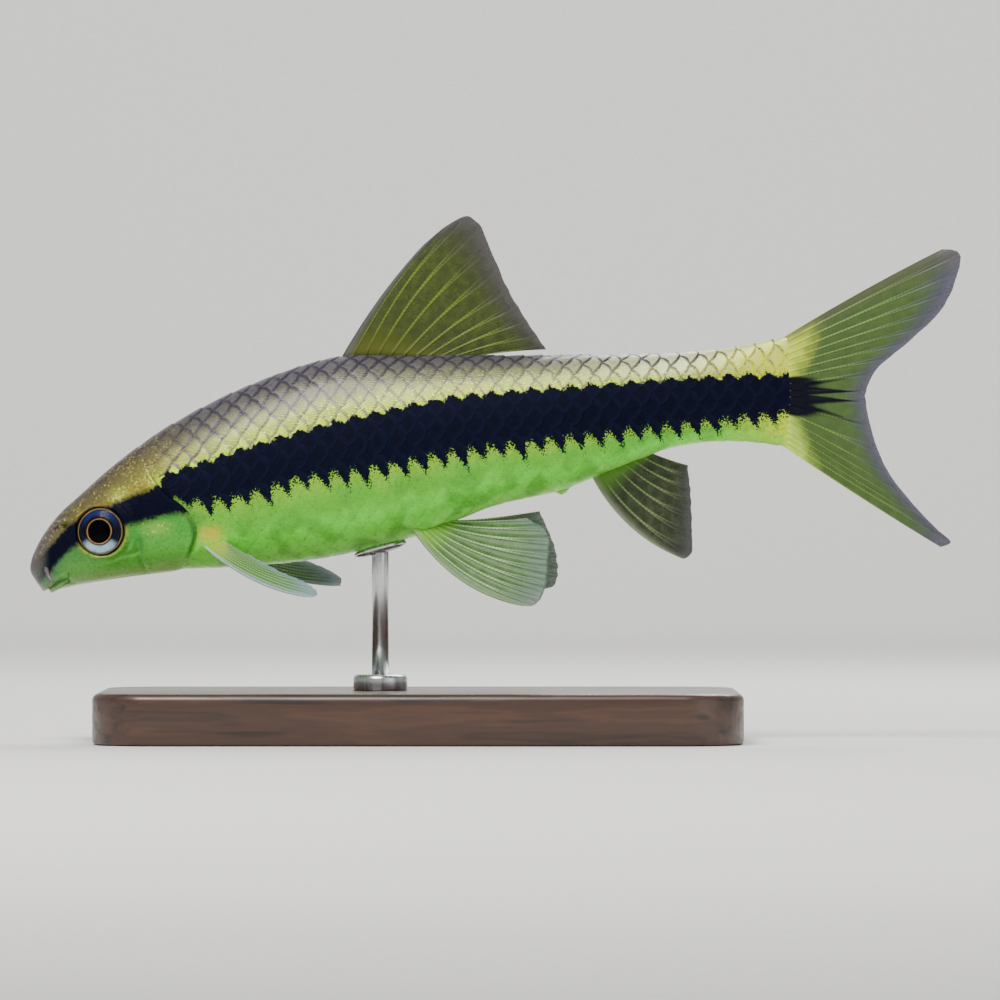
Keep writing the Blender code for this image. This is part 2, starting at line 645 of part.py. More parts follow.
def make_collar(look, collection):
    """A turned ring round the foot of the rod."""
    inner = mm(ROD_RADIUS + GAP)
    outer = mm(COLLAR_RADIUS)
    foot = mm(STAND_SIZE[2] + GAP)
    top = foot + mm(COLLAR_HEIGHT)
    edge = mm(0.5)
    profile = [(inner, top), (outer - 2 * edge, top), (outer - edge, top - edge / 3), (outer, top - 2 * edge),
               (outer, foot), (inner, foot)]
    mesh = bpy.data.meshes.new("stand_collar")
    links = [(i, (i + 1) % len(profile)) for i in range(len(profile))]
    mesh.from_pydata([(x, 0, z) for x, z in profile], links, [])
    collar = bpy.data.objects.new("stand_collar", mesh)
    collar.location.x = mm(ROD_X)
    mesh.materials.append(look)
    turned = collar.modifiers.new("Turned", "SCREW")
    turned.steps = 24
    turned.render_steps = 24
    turned.use_merge_vertices = True
    turned.merge_threshold = 1e-6
    collection.objects.link(collar)


def main():
    for old in list(bpy.data.objects):
        bpy.data.objects.remove(old)
    fish = bpy.data.collections.new("siamese algae eater")
    bpy.context.scene.collection.children.link(fish)
    skin_look = material("scaled skin", (0.32, 0.38, 0.16), 0.35)
    fin_look = material("fin membrane", (0.45, 0.50, 0.30), 0.40)
    eye_look = material("eye", (0.02, 0.02, 0.04), 0.08)
    barbel_look = material("barbel skin", (0.45, 0.40, 0.42), 0.45)
    wood = material("dark oiled wood", (0.09, 0.05, 0.03), 0.45)
    steel = material("polished steel", (0.72, 0.72, 0.74), 0.25, 1.0)
    make_head(skin_look, fish)
    make_trunk(skin_look, fish)
    make_tail_stalk(skin_look, fish)
    make_eyes(eye_look, fish)
    make_barbels(barbel_look, fish)
    make_dorsal_fin(fin_look, fish)
    make_anal_fin(fin_look, fish)
    make_tail_fin(fin_look, fish)
    make_pectoral_fins(fin_look, fish)
    make_pelvic_fins(fin_look, fish)
    make_stand(wood, steel, fish)


main()
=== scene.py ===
# %% [markdown]
# A siamese algae eater, one step at a time.
# The real thing is a slim river fish about 110 mm long. This lesson dresses its solid model for a museum:
# a scaled skin, layered eyes, clear fins with branching rays, and a small stand. Nearly every surface is
# worked out with numpy as a function of two numbers, because a fish is smooth and its markings follow its form.

# %% Load the solid model
import math

import bpy
import numpy as np
from mathutils import Matrix, Vector


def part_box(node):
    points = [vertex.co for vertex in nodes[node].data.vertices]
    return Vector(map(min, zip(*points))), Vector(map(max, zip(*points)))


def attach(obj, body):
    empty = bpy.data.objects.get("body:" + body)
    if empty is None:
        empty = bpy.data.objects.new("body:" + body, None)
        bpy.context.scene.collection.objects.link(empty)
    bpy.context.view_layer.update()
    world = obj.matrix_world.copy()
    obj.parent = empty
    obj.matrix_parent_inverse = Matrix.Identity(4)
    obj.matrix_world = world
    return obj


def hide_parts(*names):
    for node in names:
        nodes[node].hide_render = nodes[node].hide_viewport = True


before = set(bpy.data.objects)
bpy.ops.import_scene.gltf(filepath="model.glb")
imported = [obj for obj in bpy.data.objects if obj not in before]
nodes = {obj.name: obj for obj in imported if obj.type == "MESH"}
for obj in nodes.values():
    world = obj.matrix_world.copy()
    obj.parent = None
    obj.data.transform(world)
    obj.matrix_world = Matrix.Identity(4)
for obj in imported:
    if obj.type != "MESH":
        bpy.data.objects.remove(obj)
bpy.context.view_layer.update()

# %% [markdown]
# Sizes are easiest to read in millimetres, but Blender and the model count in metres. One helper turns
# millimetres into metres. The fish's place comes from the solids: its snout is the front of the head's box.

# %% Units and places
MM = 0.001


def mm(value):
    """Millimetres, one number or many, as metres."""
    return np.asarray(value, float) * MM


SNOUT_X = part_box("head")[0].x / MM
TAIL_ROOT_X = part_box("tail_stalk")[1].x / MM
BODY_LENGTH = TAIL_ROOT_X - SNOUT_X
print("body", round(BODY_LENGTH, 1), "mm from the snout to the root of the tail fin")

# %% [markdown]
# A smooth outline needs only a few points. The curve between two stops is a cubic whose slope at each stop is
# that of the line through its neighbours. Reading the outline against the square root of the distance behind
# the snout makes the nose round, just as a circle's height grows with the square root near its edge.

# %% Curves through a few stops
def smooth_through(stops, at):
    """Value at a place: a cubic between each two stops, with each stop's slope taken from its neighbours."""
    stops = np.asarray(stops, float)
    places, values = stops[:, 0], stops[:, 1:]
    slopes = np.gradient(values, places, axis=0)
    at = np.clip(np.asarray(at, float), places[0], places[-1])
    left = np.clip(np.searchsorted(places, at, side="right") - 1, 0, len(places) - 2)
    span = (places[left + 1] - places[left])[..., None]
    t = (at - places[left])[..., None] / span
    value = (
        (1 + 2 * t) * (1 - t) ** 2 * values[left]
        + t * (1 - t) ** 2 * span * slopes[left]
        + t**2 * (3 - 2 * t) * values[left + 1]
        + t**2 * (t - 1) * span * slopes[left + 1]
    )
    return value[..., 0] if values.shape[1] == 1 else value


def outline(stops, behind):
    """An outline's value at millimetres behind the snout, smooth in the square root of that distance."""
    rooted = [(math.sqrt(place), value) for place, value in stops]
    return smooth_through(rooted, np.sqrt(np.maximum(behind, 0)))


def step(low, high, at):
    """0 below low, 1 above high, and an even S between them: t * t * (3 - 2 * t)."""
    t = np.clip((np.asarray(at, float) - low) / (high - low), 0, 1)
    return t * t * (3 - 2 * t)


def bell(distance, width):
    """A smooth bump, 1 in the middle: e to the power of minus the square of distance over width."""
    return np.exp(-((distance / width) ** 2))


def unit(vectors):
    """The same directions, one long."""
    return vectors / np.maximum(np.linalg.norm(vectors, axis=-1, keepdims=True), 1e-12)


# %% [markdown]
# The body is one long barrel. Its back, belly, widest level and half width are read off the photo and the
# species at a few places, in millimetres. A section between them is a superellipse, a little fuller below.

# %% The fish's outlines
BACK = [(0, 20.4), (0.5, 22.4), (1.2, 23.8), (1.9, 24.9), (3.6, 27.0), (5.9, 29.1), (9.4, 32.2),
        (15.4, 36.6), (20.1, 39.3), (28.4, 43.0), (36.7, 45.4), (45.0, 45.5), (63.5, 45.6),
        (76.9, 45.9), (81.6, 46.3), (89.6, 47.9)]
BELLY = [(0, 20.4), (0.5, 19.2), (1.2, 18.3), (2.2, 17.9), (5.9, 18.5), (13.0, 19.6), (20.1, 20.4),
         (26.0, 20.7), (36.7, 22.0), (45.2, 24.1), (55.6, 28.0), (63.5, 29.9), (69.8, 32.5),
         (76.9, 34.9), (81.6, 35.4), (85.1, 35.3), (89.6, 34.7)]
WIDEST_LEVEL = [(0, 20.4), (3.5, 22.0), (8.3, 24.1), (15.4, 26.8), (26.0, 30.1), (36.7, 32.3),
                (49.7, 34.8), (63.5, 37.4), (78.0, 40.3), (89.6, 41.2)]
HALF_WIDTH = [(0, 0.0), (0.5, 1.6), (1.2, 2.6), (2.4, 3.5), (5.0, 4.5), (8.3, 5.3), (13.0, 6.1),
              (20.0, 6.8), (28.0, 7.2), (36.7, 7.2), (45.0, 6.9), (55.6, 5.9), (63.5, 5.1),
              (73.0, 3.6), (80.0, 2.5), (85.0, 1.6), (89.0, 0.8), (91.4, 0.15)]
BACK_FULLNESS = 2.15
BELLY_FULLNESS = 2.5


def section_at(behind):
    """Widest level, heights above and below it, and half width of the section, all in millimetres."""
    level = outline(WIDEST_LEVEL, behind)
    return level, outline(BACK, behind) - level, level - outline(BELLY, behind), outline(HALF_WIDTH, behind)


def barrel(behind, degrees, relief=0.0):
    """A point of the body, in millimetres, from the distance behind the snout and the angle round from the
    back. Its distance from the middle is (|sin / width|^n + |cos / height|^n)^(-1 / n), plus the relief."""
    level, above, below, half_width = section_at(behind)
    turn = np.radians(degrees)
    upper = np.cos(turn) >= 0
    height = np.maximum(np.where(upper, above, below), 1e-4)
    power = np.where(upper, BACK_FULLNESS, BELLY_FULLNESS)
    wide = np.abs(np.sin(turn)) / np.maximum(half_width, 1e-4)
    tall = np.abs(np.cos(turn)) / height
    radius = (wide**power + tall**power) ** (-1 / power) + relief
    return np.stack([SNOUT_X + behind + 0 * turn, radius * np.sin(turn), level + radius * np.cos(turn)], axis=-1)


def flank(x, z, side):
    """The surface point at x and height z on one side, -1 for left, and the way out there, in millimetres."""
    def point(x_at, z_at):
        level, above, below, half_width = section_at(x_at - SNOUT_X)
        power = np.where(z_at > level, BACK_FULLNESS, BELLY_FULLNESS)
        share = np.clip(np.abs(z_at - level) / np.where(z_at > level, above, below), 0, 0.999)
        return np.stack([x_at, side * half_width * (1 - share**power) ** (1 / power), z_at], axis=-1)

    x, z = np.broadcast_arrays(np.asarray(x, float), np.asarray(z, float))
    middle = point(x, z)
    out = unit(np.cross(point(x + 0.05, z) - middle, point(x, z + 0.05) - middle))
    return middle, out * np.sign(out[..., 1:2] * side)


def underside(x, y):
    """Height of the belly's skin below a point of the plan, in millimetres."""
    level, _, below, half_width = section_at(np.asarray(x) - SNOUT_X)
    share = np.clip(np.abs(y) / half_width, 0, 0.999)
    return level - below * (1 - share**BELLY_FULLNESS) ** (1 / BELLY_FULLNESS)


print("deepest section", round(float(max(sum(section_at(np.arange(90.0))[1:3]))), 1), "mm")

# %% [markdown]
# Every surface below is a grid of points. The helper turns an array of rows and columns into a mesh at once,
# with no loop over vertices, and stores any numbers that the materials will read as attributes.

# %% From a grid of points to a mesh
def grid_faces(rows, columns, around=False, first=0):
    """The squares between neighbouring points of a grid, joined up round its columns if asked."""
    index = first + np.arange(rows * columns).reshape(rows, columns)
    if around:
        index = np.concatenate([index, index[:, :1]], axis=1)
    corners = (index[:-1, :-1], index[1:, :-1], index[1:, 1:], index[:-1, 1:])
    return np.stack([corner.ravel() for corner in corners], axis=1)


def outward(points, faces):
    """The faces, turned over if they look inwards: seen from the middle, a third of each face's area times
    its height adds up to the volume, which comes out negative then."""
    from_middle = points - points.mean(axis=0)
    volume = 0.0
    for face in faces:
        corner = from_middle[np.asarray(face)]
        for k in range(2, corner.shape[1]):
            volume += np.einsum("ij,ij->", corner[:, 0], np.cross(corner[:, k - 1], corner[:, k]))
    return [np.asarray(face)[:, ::-1] for face in faces] if volume < 0 else faces


def make_piece(name, points, faces, look, stands_for=(), numbers=None, spread=None):
    """A finished piece in the scene: points in millimetres, triangles or squares, numbers kept per point."""
    mesh = bpy.data.meshes.new(name)
    points = np.asarray(points, float).reshape(-1, 3)
    faces = outward(points, faces)
    mesh.vertices.add(len(points))
    mesh.vertices.foreach_set("co", mm(points).astype(np.float32).ravel())
    loops = np.concatenate([np.asarray(face).ravel() for face in faces]).astype(np.int32)
    sides = np.concatenate([np.full(len(face), np.asarray(face).shape[1]) for face in faces])
    mesh.loops.add(len(loops))
    mesh.loops.foreach_set("vertex_index", loops)
    mesh.polygons.add(len(sides))
    starts = np.concatenate([[0], np.cumsum(sides)[:-1]]).astype(np.int32)
    mesh.polygons.foreach_set("loop_start", starts)
    mesh.update(calc_edges=True)
    mesh.validate()
    for title, values in (numbers or {}).items():
        kept = mesh.attributes.new(title, "FLOAT", "POINT")
        kept.data.foreach_set("value", np.broadcast_to(values, len(points)).astype(np.float32).ravel())
    if spread is not None:
        layer = mesh.uv_layers.new(name="OFBake")
        layer.data.foreach_set("uv", np.asarray(spread, np.float32)[loops].ravel())
    mesh.shade_smooth()
    mesh.materials.append(look)
    piece = bpy.data.objects.new(name, mesh)
    bpy.context.scene.collection.objects.link(piece)
    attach(piece, "root")
    if stands_for:
        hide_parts(*stands_for)
    print(name, len(points), "points")
    return piece


# %% [markdown]
# A material is a small network of nodes. These helpers add a node, set its sockets and wire it up in one line,
# so that each finish below reads as a list of what it mixes.

# %% Short words for material nodes
def colour(red, green, blue):
    """A screen colour, 0 to 255, as the linear light values that a shader takes: ((c + 0.055) / 1.055)^2.4."""
    share = np.array([red, green, blue], float) / 255
    linear = np.where(share <= 0.04045, share / 12.92, ((share + 0.055) / 1.055) ** 2.4)
    return (*(float(part) for part in linear), 1.0)


class Finish:
    """A material under construction, with one method for each kind of node that the finishes use."""

    def __init__(self, name):
        self.material = bpy.data.materials.new(name)
        self.material.use_nodes = True
        self.tree = self.material.node_tree
        self.shader = self.tree.nodes["Principled BSDF"]
        self.place = self.tree.nodes.new("ShaderNodeTexCoord").outputs["Object"]

    def put(self, socket, value):
        """Wires an output into a socket, or sets the socket's own value."""
        if isinstance(value, bpy.types.NodeSocket):
            self.tree.links.new(value, socket)
        else:
            socket.default_value = value

    def number(self, title):
        """Reads a number that was stored on the mesh."""
        node = self.tree.nodes.new("ShaderNodeAttribute")
        node.attribute_name = title
        return node.outputs["Fac"]

    def math(self, kind, *values):
        node = self.tree.nodes.new("ShaderNodeMath")
        node.operation = kind
        for socket, value in zip(node.inputs, values):
            self.put(socket, value)
        return node.outputs[0]

    def between(self, value, low, high, at_low=0.0, at_high=1.0):
        """An even S from one value to another as the input goes from low to high."""
        node = self.tree.nodes.new("ShaderNodeMapRange")
        node.interpolation_type = "SMOOTHSTEP"
        for socket, given in zip(node.inputs, (value, low, high, at_low, at_high)):
            self.put(socket, given)
        return node.outputs[0]

    def ramp(self, value, stops, smooth=True):
        node = self.tree.nodes.new("ShaderNodeValToRGB")
        node.color_ramp.interpolation = "EASE" if smooth else "LINEAR"
        made = node.color_ramp.elements
        while len(made) < len(stops):
            made.new(0.5)
        for element, (position, shade) in zip(made, stops):
            element.position = position
            element.color = shade
        self.put(node.inputs[0], value)
        return node.outputs[0]

    def mix(self, share, first, second, kind="MIX"):
        node = self.tree.nodes.new("ShaderNodeMix")
        node.data_type = "RGBA"
        node.blend_type = kind
        for socket, value in ((node.inputs[0], share), (node.inputs[6], first), (node.inputs[7], second)):
            self.put(socket, value)
        return node.outputs[2]

    def stretched(self, *scale):
        """The piece's own coordinates, drawn out unevenly."""
        node = self.tree.nodes.new("ShaderNodeMapping")
        node.inputs["Scale"].default_value = scale
        self.put(node.inputs["Vector"], self.place)
        return node.outputs[0]

    def noise(self, scale, detail=2.0, place=None):
        node = self.tree.nodes.new("ShaderNodeTexNoise")
        node.inputs["Scale"].default_value = scale
        node.inputs["Detail"].default_value = detail
        self.put(node.inputs["Vector"], place or self.place)
        return node.outputs[0]

    def cells(self, scale, output="Distance", feature="F1", place=None):
        node = self.tree.nodes.new("ShaderNodeTexVoronoi")
        node.feature = feature
        node.inputs["Scale"].default_value = scale
        self.put(node.inputs["Vector"], place or self.place)
        return node.outputs[output]

    def bump(self, height, strength, distance):
        node = self.tree.nodes.new("ShaderNodeBump")
        node.inputs["Strength"].default_value = strength
        node.inputs["Distance"].default_value = distance
        self.put(node.inputs["Height"], height)
        self.put(self.shader.inputs["Normal"], node.outputs[0])

    def set(self, **sockets):
        """Sets the main shader's sockets, written with _ for a space."""
        for title, value in sockets.items():
            self.put(self.shader.inputs[title.replace("_", " ")], value)
        return self.material


# %% [markdown]
# The photo looks straight at the fish's left side, so the camera stands level with the middle of the picture.
# A long lens from a metre away keeps the far fins in step with the near ones, as in the photo. One pixel of
# the photo is 0.118 mm at the fish's middle, and with the lens that fixes how far off the camera is.

# %% Camera
PIXEL = 0.11825
FRAME_PIXELS = 1000
MIDDLE_X = 0.55
MIDDLE_Z = 28.5
LENS = 300.0
SENSOR = 36.0

camera_data = bpy.data.cameras.new("camera")
camera_data.lens = LENS
camera_data.sensor_width = SENSOR
camera = bpy.data.objects.new("camera", camera_data)
distance = PIXEL * FRAME_PIXELS * LENS / SENSOR
camera.location = mm((MIDDLE_X, -distance, MIDDLE_Z))
camera.rotation_euler = (math.radians(90), 0, 0)
bpy.context.scene.collection.objects.link(camera)
bpy.context.scene.camera = camera
print("camera", round(distance), "mm in front of the fish")

# %% [markdown]
# The stage is a pale sheet that runs level under the stand and turns up into the background, as in a
# photographer's studio, so that no line shows behind the fish. It starts to turn up only behind the farthest
# place that a camera may go. Three large soft lights stand round the fish: the main one high and in front, as
# daylight falls on an aquarium, one to fill the shadows and one from behind. A fourth lights the background.

# %% Stage and lights
def make_stage():
    """A profile carried sideways: level, then a quarter circle, then upright."""
    bend = np.radians(np.linspace(0, 90, 24))
    radius, start, top = 800.0, 900.0, 3500.0
    profile = [(-4000.0, 0.0), (start, 0.0)]
    profile += [(start + radius * math.sin(a), radius * (1 - math.cos(a))) for a in bend[1:]]
    profile += [(start + radius, top)]
    across = np.array([-4000.0, 4000.0])
    points = np.array([[(x, y, z - 0.05) for x in across] for y, z in profile])
    mesh = bpy.data.meshes.new("stage")
    faces = grid_faces(len(profile), 2)[:, ::-1]
    mesh.from_pydata(mm(points).reshape(-1, 3).tolist(), [], faces.tolist())
    mesh.shade_smooth()
    paper = Finish("studio paper")
    grain = paper.noise(900.0, 3.0)
    shade = paper.ramp(grain, [(0.3, colour(222, 221, 217)), (0.7, colour(228, 227, 223))])
    mesh.materials.append(paper.set(Base_Color=shade, Roughness=0.9))
    stage = bpy.data.objects.new("stage", mesh)
    bpy.context.scene.collection.objects.link(stage)


def soft_light(name, place, size, power, tint, target=(0, 0, 32)):
    """A square lamp that faces the fish, or another target."""
    data = bpy.data.lights.new(name, "AREA")
    data.size = size * MM
    data.energy = power
    data.color = tint
    lamp = bpy.data.objects.new(name, data)
    lamp.location = mm(place)
    aim = Vector(mm(target)) - lamp.location
    lamp.rotation_euler = aim.to_track_quat("-Z", "Y").to_euler()
    bpy.context.scene.collection.objects.link(lamp)


make_stage()
soft_light("main", (-130, -300, 430), 240, 3.6, (1.0, 0.98, 0.95))
soft_light("fill", (380, -420, 120), 360, 0.5, (0.93, 0.97, 1.0))
soft_light("back", (120, 320, 360), 240, 2.0, (1.0, 1.0, 1.0))
soft_light("backdrop", (0, 850, 900), 900, 9.0, (1.0, 1.0, 1.0), (0, 1700, 100))
bpy.data.objects["backdrop"].visible_camera = False
world = bpy.data.worlds.new("studio air")
world.use_nodes = True
world.node_tree.nodes["Background"].inputs[0].default_value = (0.82, 0.83, 0.84, 1)
world.node_tree.nodes["Background"].inputs[1].default_value = 0.62
bpy.context.scene.world = world
print("stage and", len(bpy.data.lights), "lights")

# %% [markdown]
# One skin covers head, trunk and tail stalk, so that no seam shows where the solids meet. Its rows bend along
# the rear edge of the gill cover, which keeps that edge crisp. The small forms of the head are a relief: lids
# round the eye, the hollow that the eye sits in, nostrils, lips, the folds of the cheek.

# %% Forms of the head
GILL_MARGIN = [(0, 12.9), (40, 14.2), (68, 16.0), (95, 18.7), (115, 19.9), (143, 18.9), (180, 16.8)]
CHEEK_FOLD = [(0, 13.4), (60, 13.2), (95, 12.9), (130, 13.2), (180, 14.6)]
EYE_X, EYE_Z = -46.45, 24.8
EYE_RADIUS = 3.3
NOSTRIL_X, NOSTRIL_Z = -51.2, 25.6
MOUTH_X = -50.9
MOUTH_REACH = 2.2
MOUTH_HALF_WIDTH = 2.75
VENT_X = SNOUT_X + 63.0
COAT = 0.12


def gill_margin(degrees):
    """Distance behind the snout of the gill cover's rear edge, at an angle round from the back."""
    return smooth_through(GILL_MARGIN, 180 - np.abs(180 - np.mod(degrees, 360)))


def head_relief(behind, degrees):
    """How far the small forms of the head stand out of the barrel, in millimetres: a sum of bumps and
    grooves, each an S or a bell of the distance from a curve."""
    place = barrel(behind, degrees)
    x, y, z = place[..., 0], np.abs(place[..., 1]), place[..., 2]
    folded = 180 - np.abs(180 - np.mod(degrees, 360))
    side = step(35, 65, folded) * (1 - step(150, 175, folded))
    edge = gill_margin(degrees) - behind
    cover = (0.35 * side + 0.05) * bell(edge, 4.0)
    cover = cover - (0.16 + 0.16 * side) * (1 - step(0.0, 0.35, edge))
    fold = smooth_through(CHEEK_FOLD, folded)
    cheek = 0.24 * bell(behind - fold, 0.38) * step(62, 80, folded) * (1 - step(140, 165, folded))
    cheek = cheek + 0.10 * bell(behind - fold - 3.4 - 0.03 * (folded - 95), 0.3) * step(80, 95, folded) * (
        1 - step(125, 140, folded))
    cheek = cheek + 0.12 * bell(z - 21.7 - 0.16 * (x + 46), 0.3) * step(-48, -46, x) * (1 - step(-42.6, -41.2, x))
    eye = np.hypot(x - EYE_X, (z - EYE_Z) * 1.08)
    flat = (folded > 25) & (folded < 150)
    orbit = flat * (0.45 * bell(np.maximum(eye - 3.2, 0), 1.1) + 0.16 * bell(eye - 3.10, 0.2)
                    - 0.10 * bell(eye - 3.8, 0.26))
    socket = flat * (1 - step(2.70, 3.02, eye)) * 1.9
    front = np.hypot(x - NOSTRIL_X + 0.45, z - NOSTRIL_Z + 0.35)
    rear = np.hypot((x - NOSTRIL_X - 0.45) * 0.9, (z - NOSTRIL_Z + 0.10) * 1.1)
    nostril = flat * (0.22 * bell(front - 0.50, 0.18) + 0.26 * bell(rear - 0.58, 0.2)
                      - 0.60 * bell(front, 0.32) - 0.75 * bell(rear, 0.40))
    lower = step(118, 140, folded)
    ahead = np.maximum(MOUTH_X + 0.6 - x, 0)
    ring = np.hypot(ahead, y * MOUTH_REACH / MOUTH_HALF_WIDTH * 1.03)
    reach = MOUTH_REACH + 0.45
    lips = lower * (x < MOUTH_X + 0.6) * (0.36 * bell(ring - reach - 0.5, 0.34) + 0.34 * bell(ring - reach + 0.48, 0.30)
                                          - 0.42 * bell(ring - reach, 0.13))
    corner = lower * 0.25 * bell(np.hypot(x - MOUTH_X - 0.7, y - MOUTH_HALF_WIDTH), 0.5)
    snout_fold = 0.20 * bell(behind - 2.35 - 0.012 * (140 - folded), 0.22) * step(72, 90, folded) * (
        1 - step(138, 150, folded))
    throat = 0.18 * bell(y - 1.1 - 0.10 * np.maximum(behind - 8, 0), 0.28) * step(158, 168, folded) * (
        step(7.5, 9.5, behind))
    return cover - cheek + orbit - socket + nostril + lips - corner - snout_fold - throat


def trunk_relief(behind, degrees):
    """Forms behind the gill cover: the slit under its edge, the coat's depth, the roots of the paired fins
    and the small cone at the vent."""
    place = barrel(behind, degrees)
    x, y, z = place[..., 0], np.abs(place[..., 1]), place[..., 2]
    past = behind - gill_margin(degrees)
    slit = -0.30 * bell(past, 0.45)
    shoulder = 0.55 * bell(np.hypot(x + 33.4, (z - 23.2) * 1.2), 1.9) * (y > 2)
    hip = 0.40 * bell(np.hypot((x + 8.2) * 0.8, y - 2.7), 1.3) * (z < 33)
    papilla = 0.75 * bell(np.hypot((x - VENT_X) * 0.8, y), 0.6) * (z < 34)
    return slit - COAT * step(0.3, 1.6, past) + shoulder + hip + papilla


print("gill cover ends", round(float(gill_margin(95.0)), 1), "mm behind the snout at mid height")

# %% [markdown]
# The markings are worked out once, from place alone, and shared by skin and scales. One number says how far up
# the side a point lies: -1 at the belly, 0 and 1 at the stripe's two edges, 2 on the back. The stripe's edges
# are smooth curves through a few points.

# %% Markings
STRIPE_TOP = [(-39.6, 31.0), (-34.9, 32.5), (-25.5, 35.5), (-16.0, 38.0), (-6.5, 40.0), (7.7, 41.4),
              (21.8, 42.5), (33.7, 43.1), (43.1, 43.2)]
SCALE_PITCH = 2.30
STRIPE_FOOT = [(-39.6, 28.5), (-34.9, 28.3), (-30.2, 28.9), (-23.1, 30.9), (-13.6, 32.4), (-4.2, 34.2),
               (5.3, 35.4), (14.7, 36.6), (24.2, 37.6), (33.7, 38.6), (40.8, 39.4)]
HEAD_BAND_TOP = [(-55, 20.9), (-53, 22.6), (-50.1, 25.7), (-46, 27.6), (-44, 28.6), (-42.4, 29.2), (-40.5, 29.9),
                 (-38.6, 31.0), (-35, 32.4)]
HEAD_BAND_FOOT = [(-55, 17.6), (-53, 19.5), (-50.1, 22.5), (-46, 24.2), (-43.5, 25.3), (-41.2, 25.9), (-38.5, 26.7),
                  (-35.7, 27.0), (-34, 27.8)]


def markings(x, z, on_head, past, own_x=0.6):
    """The numbers that the fish's paint is mixed by. band says how deep inside the dark stripe a point lies, a
    half on its edge and a quarter for each millimetre. The stripe's lower edge has a dark spike under every
    scale and its upper edge a low hump between the spikes. past is the distance behind the gill cover's edge.
    painted_glint and gold are strongest where glitter shows; painted_glint is painted highlight, the glitter's glints
    of light. crease_shade is painted shade in the thin dark seams of the head: the gill slit, the cheek fold and the
    nostril pits."""
    behind = np.clip(x - SNOUT_X, 0, BODY_LENGTH)
    top = np.where(on_head, smooth_through(HEAD_BAND_TOP, x), smooth_through(STRIPE_TOP, x))
    foot = np.where(on_head, smooth_through(HEAD_BAND_FOOT, x), smooth_through(STRIPE_FOOT, x))
    back, belly = outline(BACK, behind), outline(BELLY, behind)
    up = np.where(z > top, 1 + (z - top) / np.maximum(back - top, 0.5),
                  np.where(z < foot, (z - foot) / np.maximum(foot - belly, 0.5), (z - foot) / (top - foot)))
    up = np.clip(up, -1, 2)
    root = np.hypot(x + 33.4, (z - 24.4) * 1.35)
    count = (x - own_x + 0.35 * (z - foot)) / SCALE_PITCH
    phase = np.abs(np.mod(count, 1) - 0.5) * 2
    length = 0.7 + 0.6 * np.mod(np.sin(12.9898 * np.round(count)) * 43758.5453, 1)
    spike = (1.9 - 0.9 * step(15, 32, x)) * length * step(0.35, 1.0, phase) - 0.45
    hump = 0.8 * (1 - phase) - 0.15
    on_trunk = np.minimum(np.minimum(z - foot + spike, top + hump - z), x + 39.3)
    inside = np.where(on_head, np.minimum(z - foot, top - z), on_trunk)
    behind_eye = bell(np.hypot((x + 44.2) / 1.2, (z - 29.2) / 0.8), 1)
    cover_patch = bell(np.hypot((x + 39.8) / 1.8, (z - 25.2) / 0.9), 1)
    # painted glints: glitter where light glances off the scales, above the stripe, at the pectoral root and on the head
    painted_glint = bell(up - 1.16, 0.17) * step(-38, -30, x) + 0.45 * bell(up - 1.45, 0.25) * step(-30, 10, x)
    painted_glint = painted_glint + 0.6 * bell(root - 0.3, 1.0)
    painted_glint = np.where(on_head, behind_eye + 0.9 * cover_patch + 0.3 * bell(up - 1.3, 0.3) * step(-46, -41, x), painted_glint)
    # painted shade: dark colour in the nostril pits, in the gill slit under the cover's edge and along the cheek fold
    pit_shade = 0.6 * bell(np.hypot(x - NOSTRIL_X + 0.45, z - NOSTRIL_Z + 0.35), 0.32) + 0.7 * bell(
        np.hypot(x - NOSTRIL_X - 0.45, z - NOSTRIL_Z + 0.10), 0.36)
    gill_slit_shade = 0.8 * bell(past + 0.35, 0.28) * step(21, 23, z) * (1 - step(26.0, 27.5, z))
    cheek_fold_shade = 0.55 * bell(x + 41.5 + 0.14 * (z - 22), 0.32) * step(19.8, 21.2, z) * (1 - step(23.6, 25.0, z))
    crease_shade = np.where(on_head, np.maximum(np.maximum(gill_slit_shade, cheek_fold_shade), pit_shade), 0)
    lid = 0.40 * bell(np.hypot(x - EYE_X, (z - EYE_Z) * 1.08) - 3.15, 0.28)
    stalk_end = bell(up - 1.3, 0.7) * step(22, 32, x) + 0.8 * bell(up + 0.4, 0.5) * step(27, 35, x)
    gold = np.where(on_head, lid, bell(root, 1.5) + stalk_end)
    fade = 1.5 + 5.0 * step(1.0, 1.4, up)
    return {"up": (up + 1) / 3, "aft": (x - SNOUT_X) / 110.0, "head": 1 - np.clip((past + 1.3) / (fade + 1.3), 0, 1),
            "band": np.clip(0.5 + inside / 4, 0, 1), "painted_glint": np.clip(painted_glint, 0, 1), "gold": np.clip(gold, 0, 1),
            "crease_shade": np.clip(crease_shade, 0, 1)}


print("stripe is", round(float(smooth_through(STRIPE_TOP, 0.0) - smooth_through(STRIPE_FOOT, 0.0)), 1), "mm high")
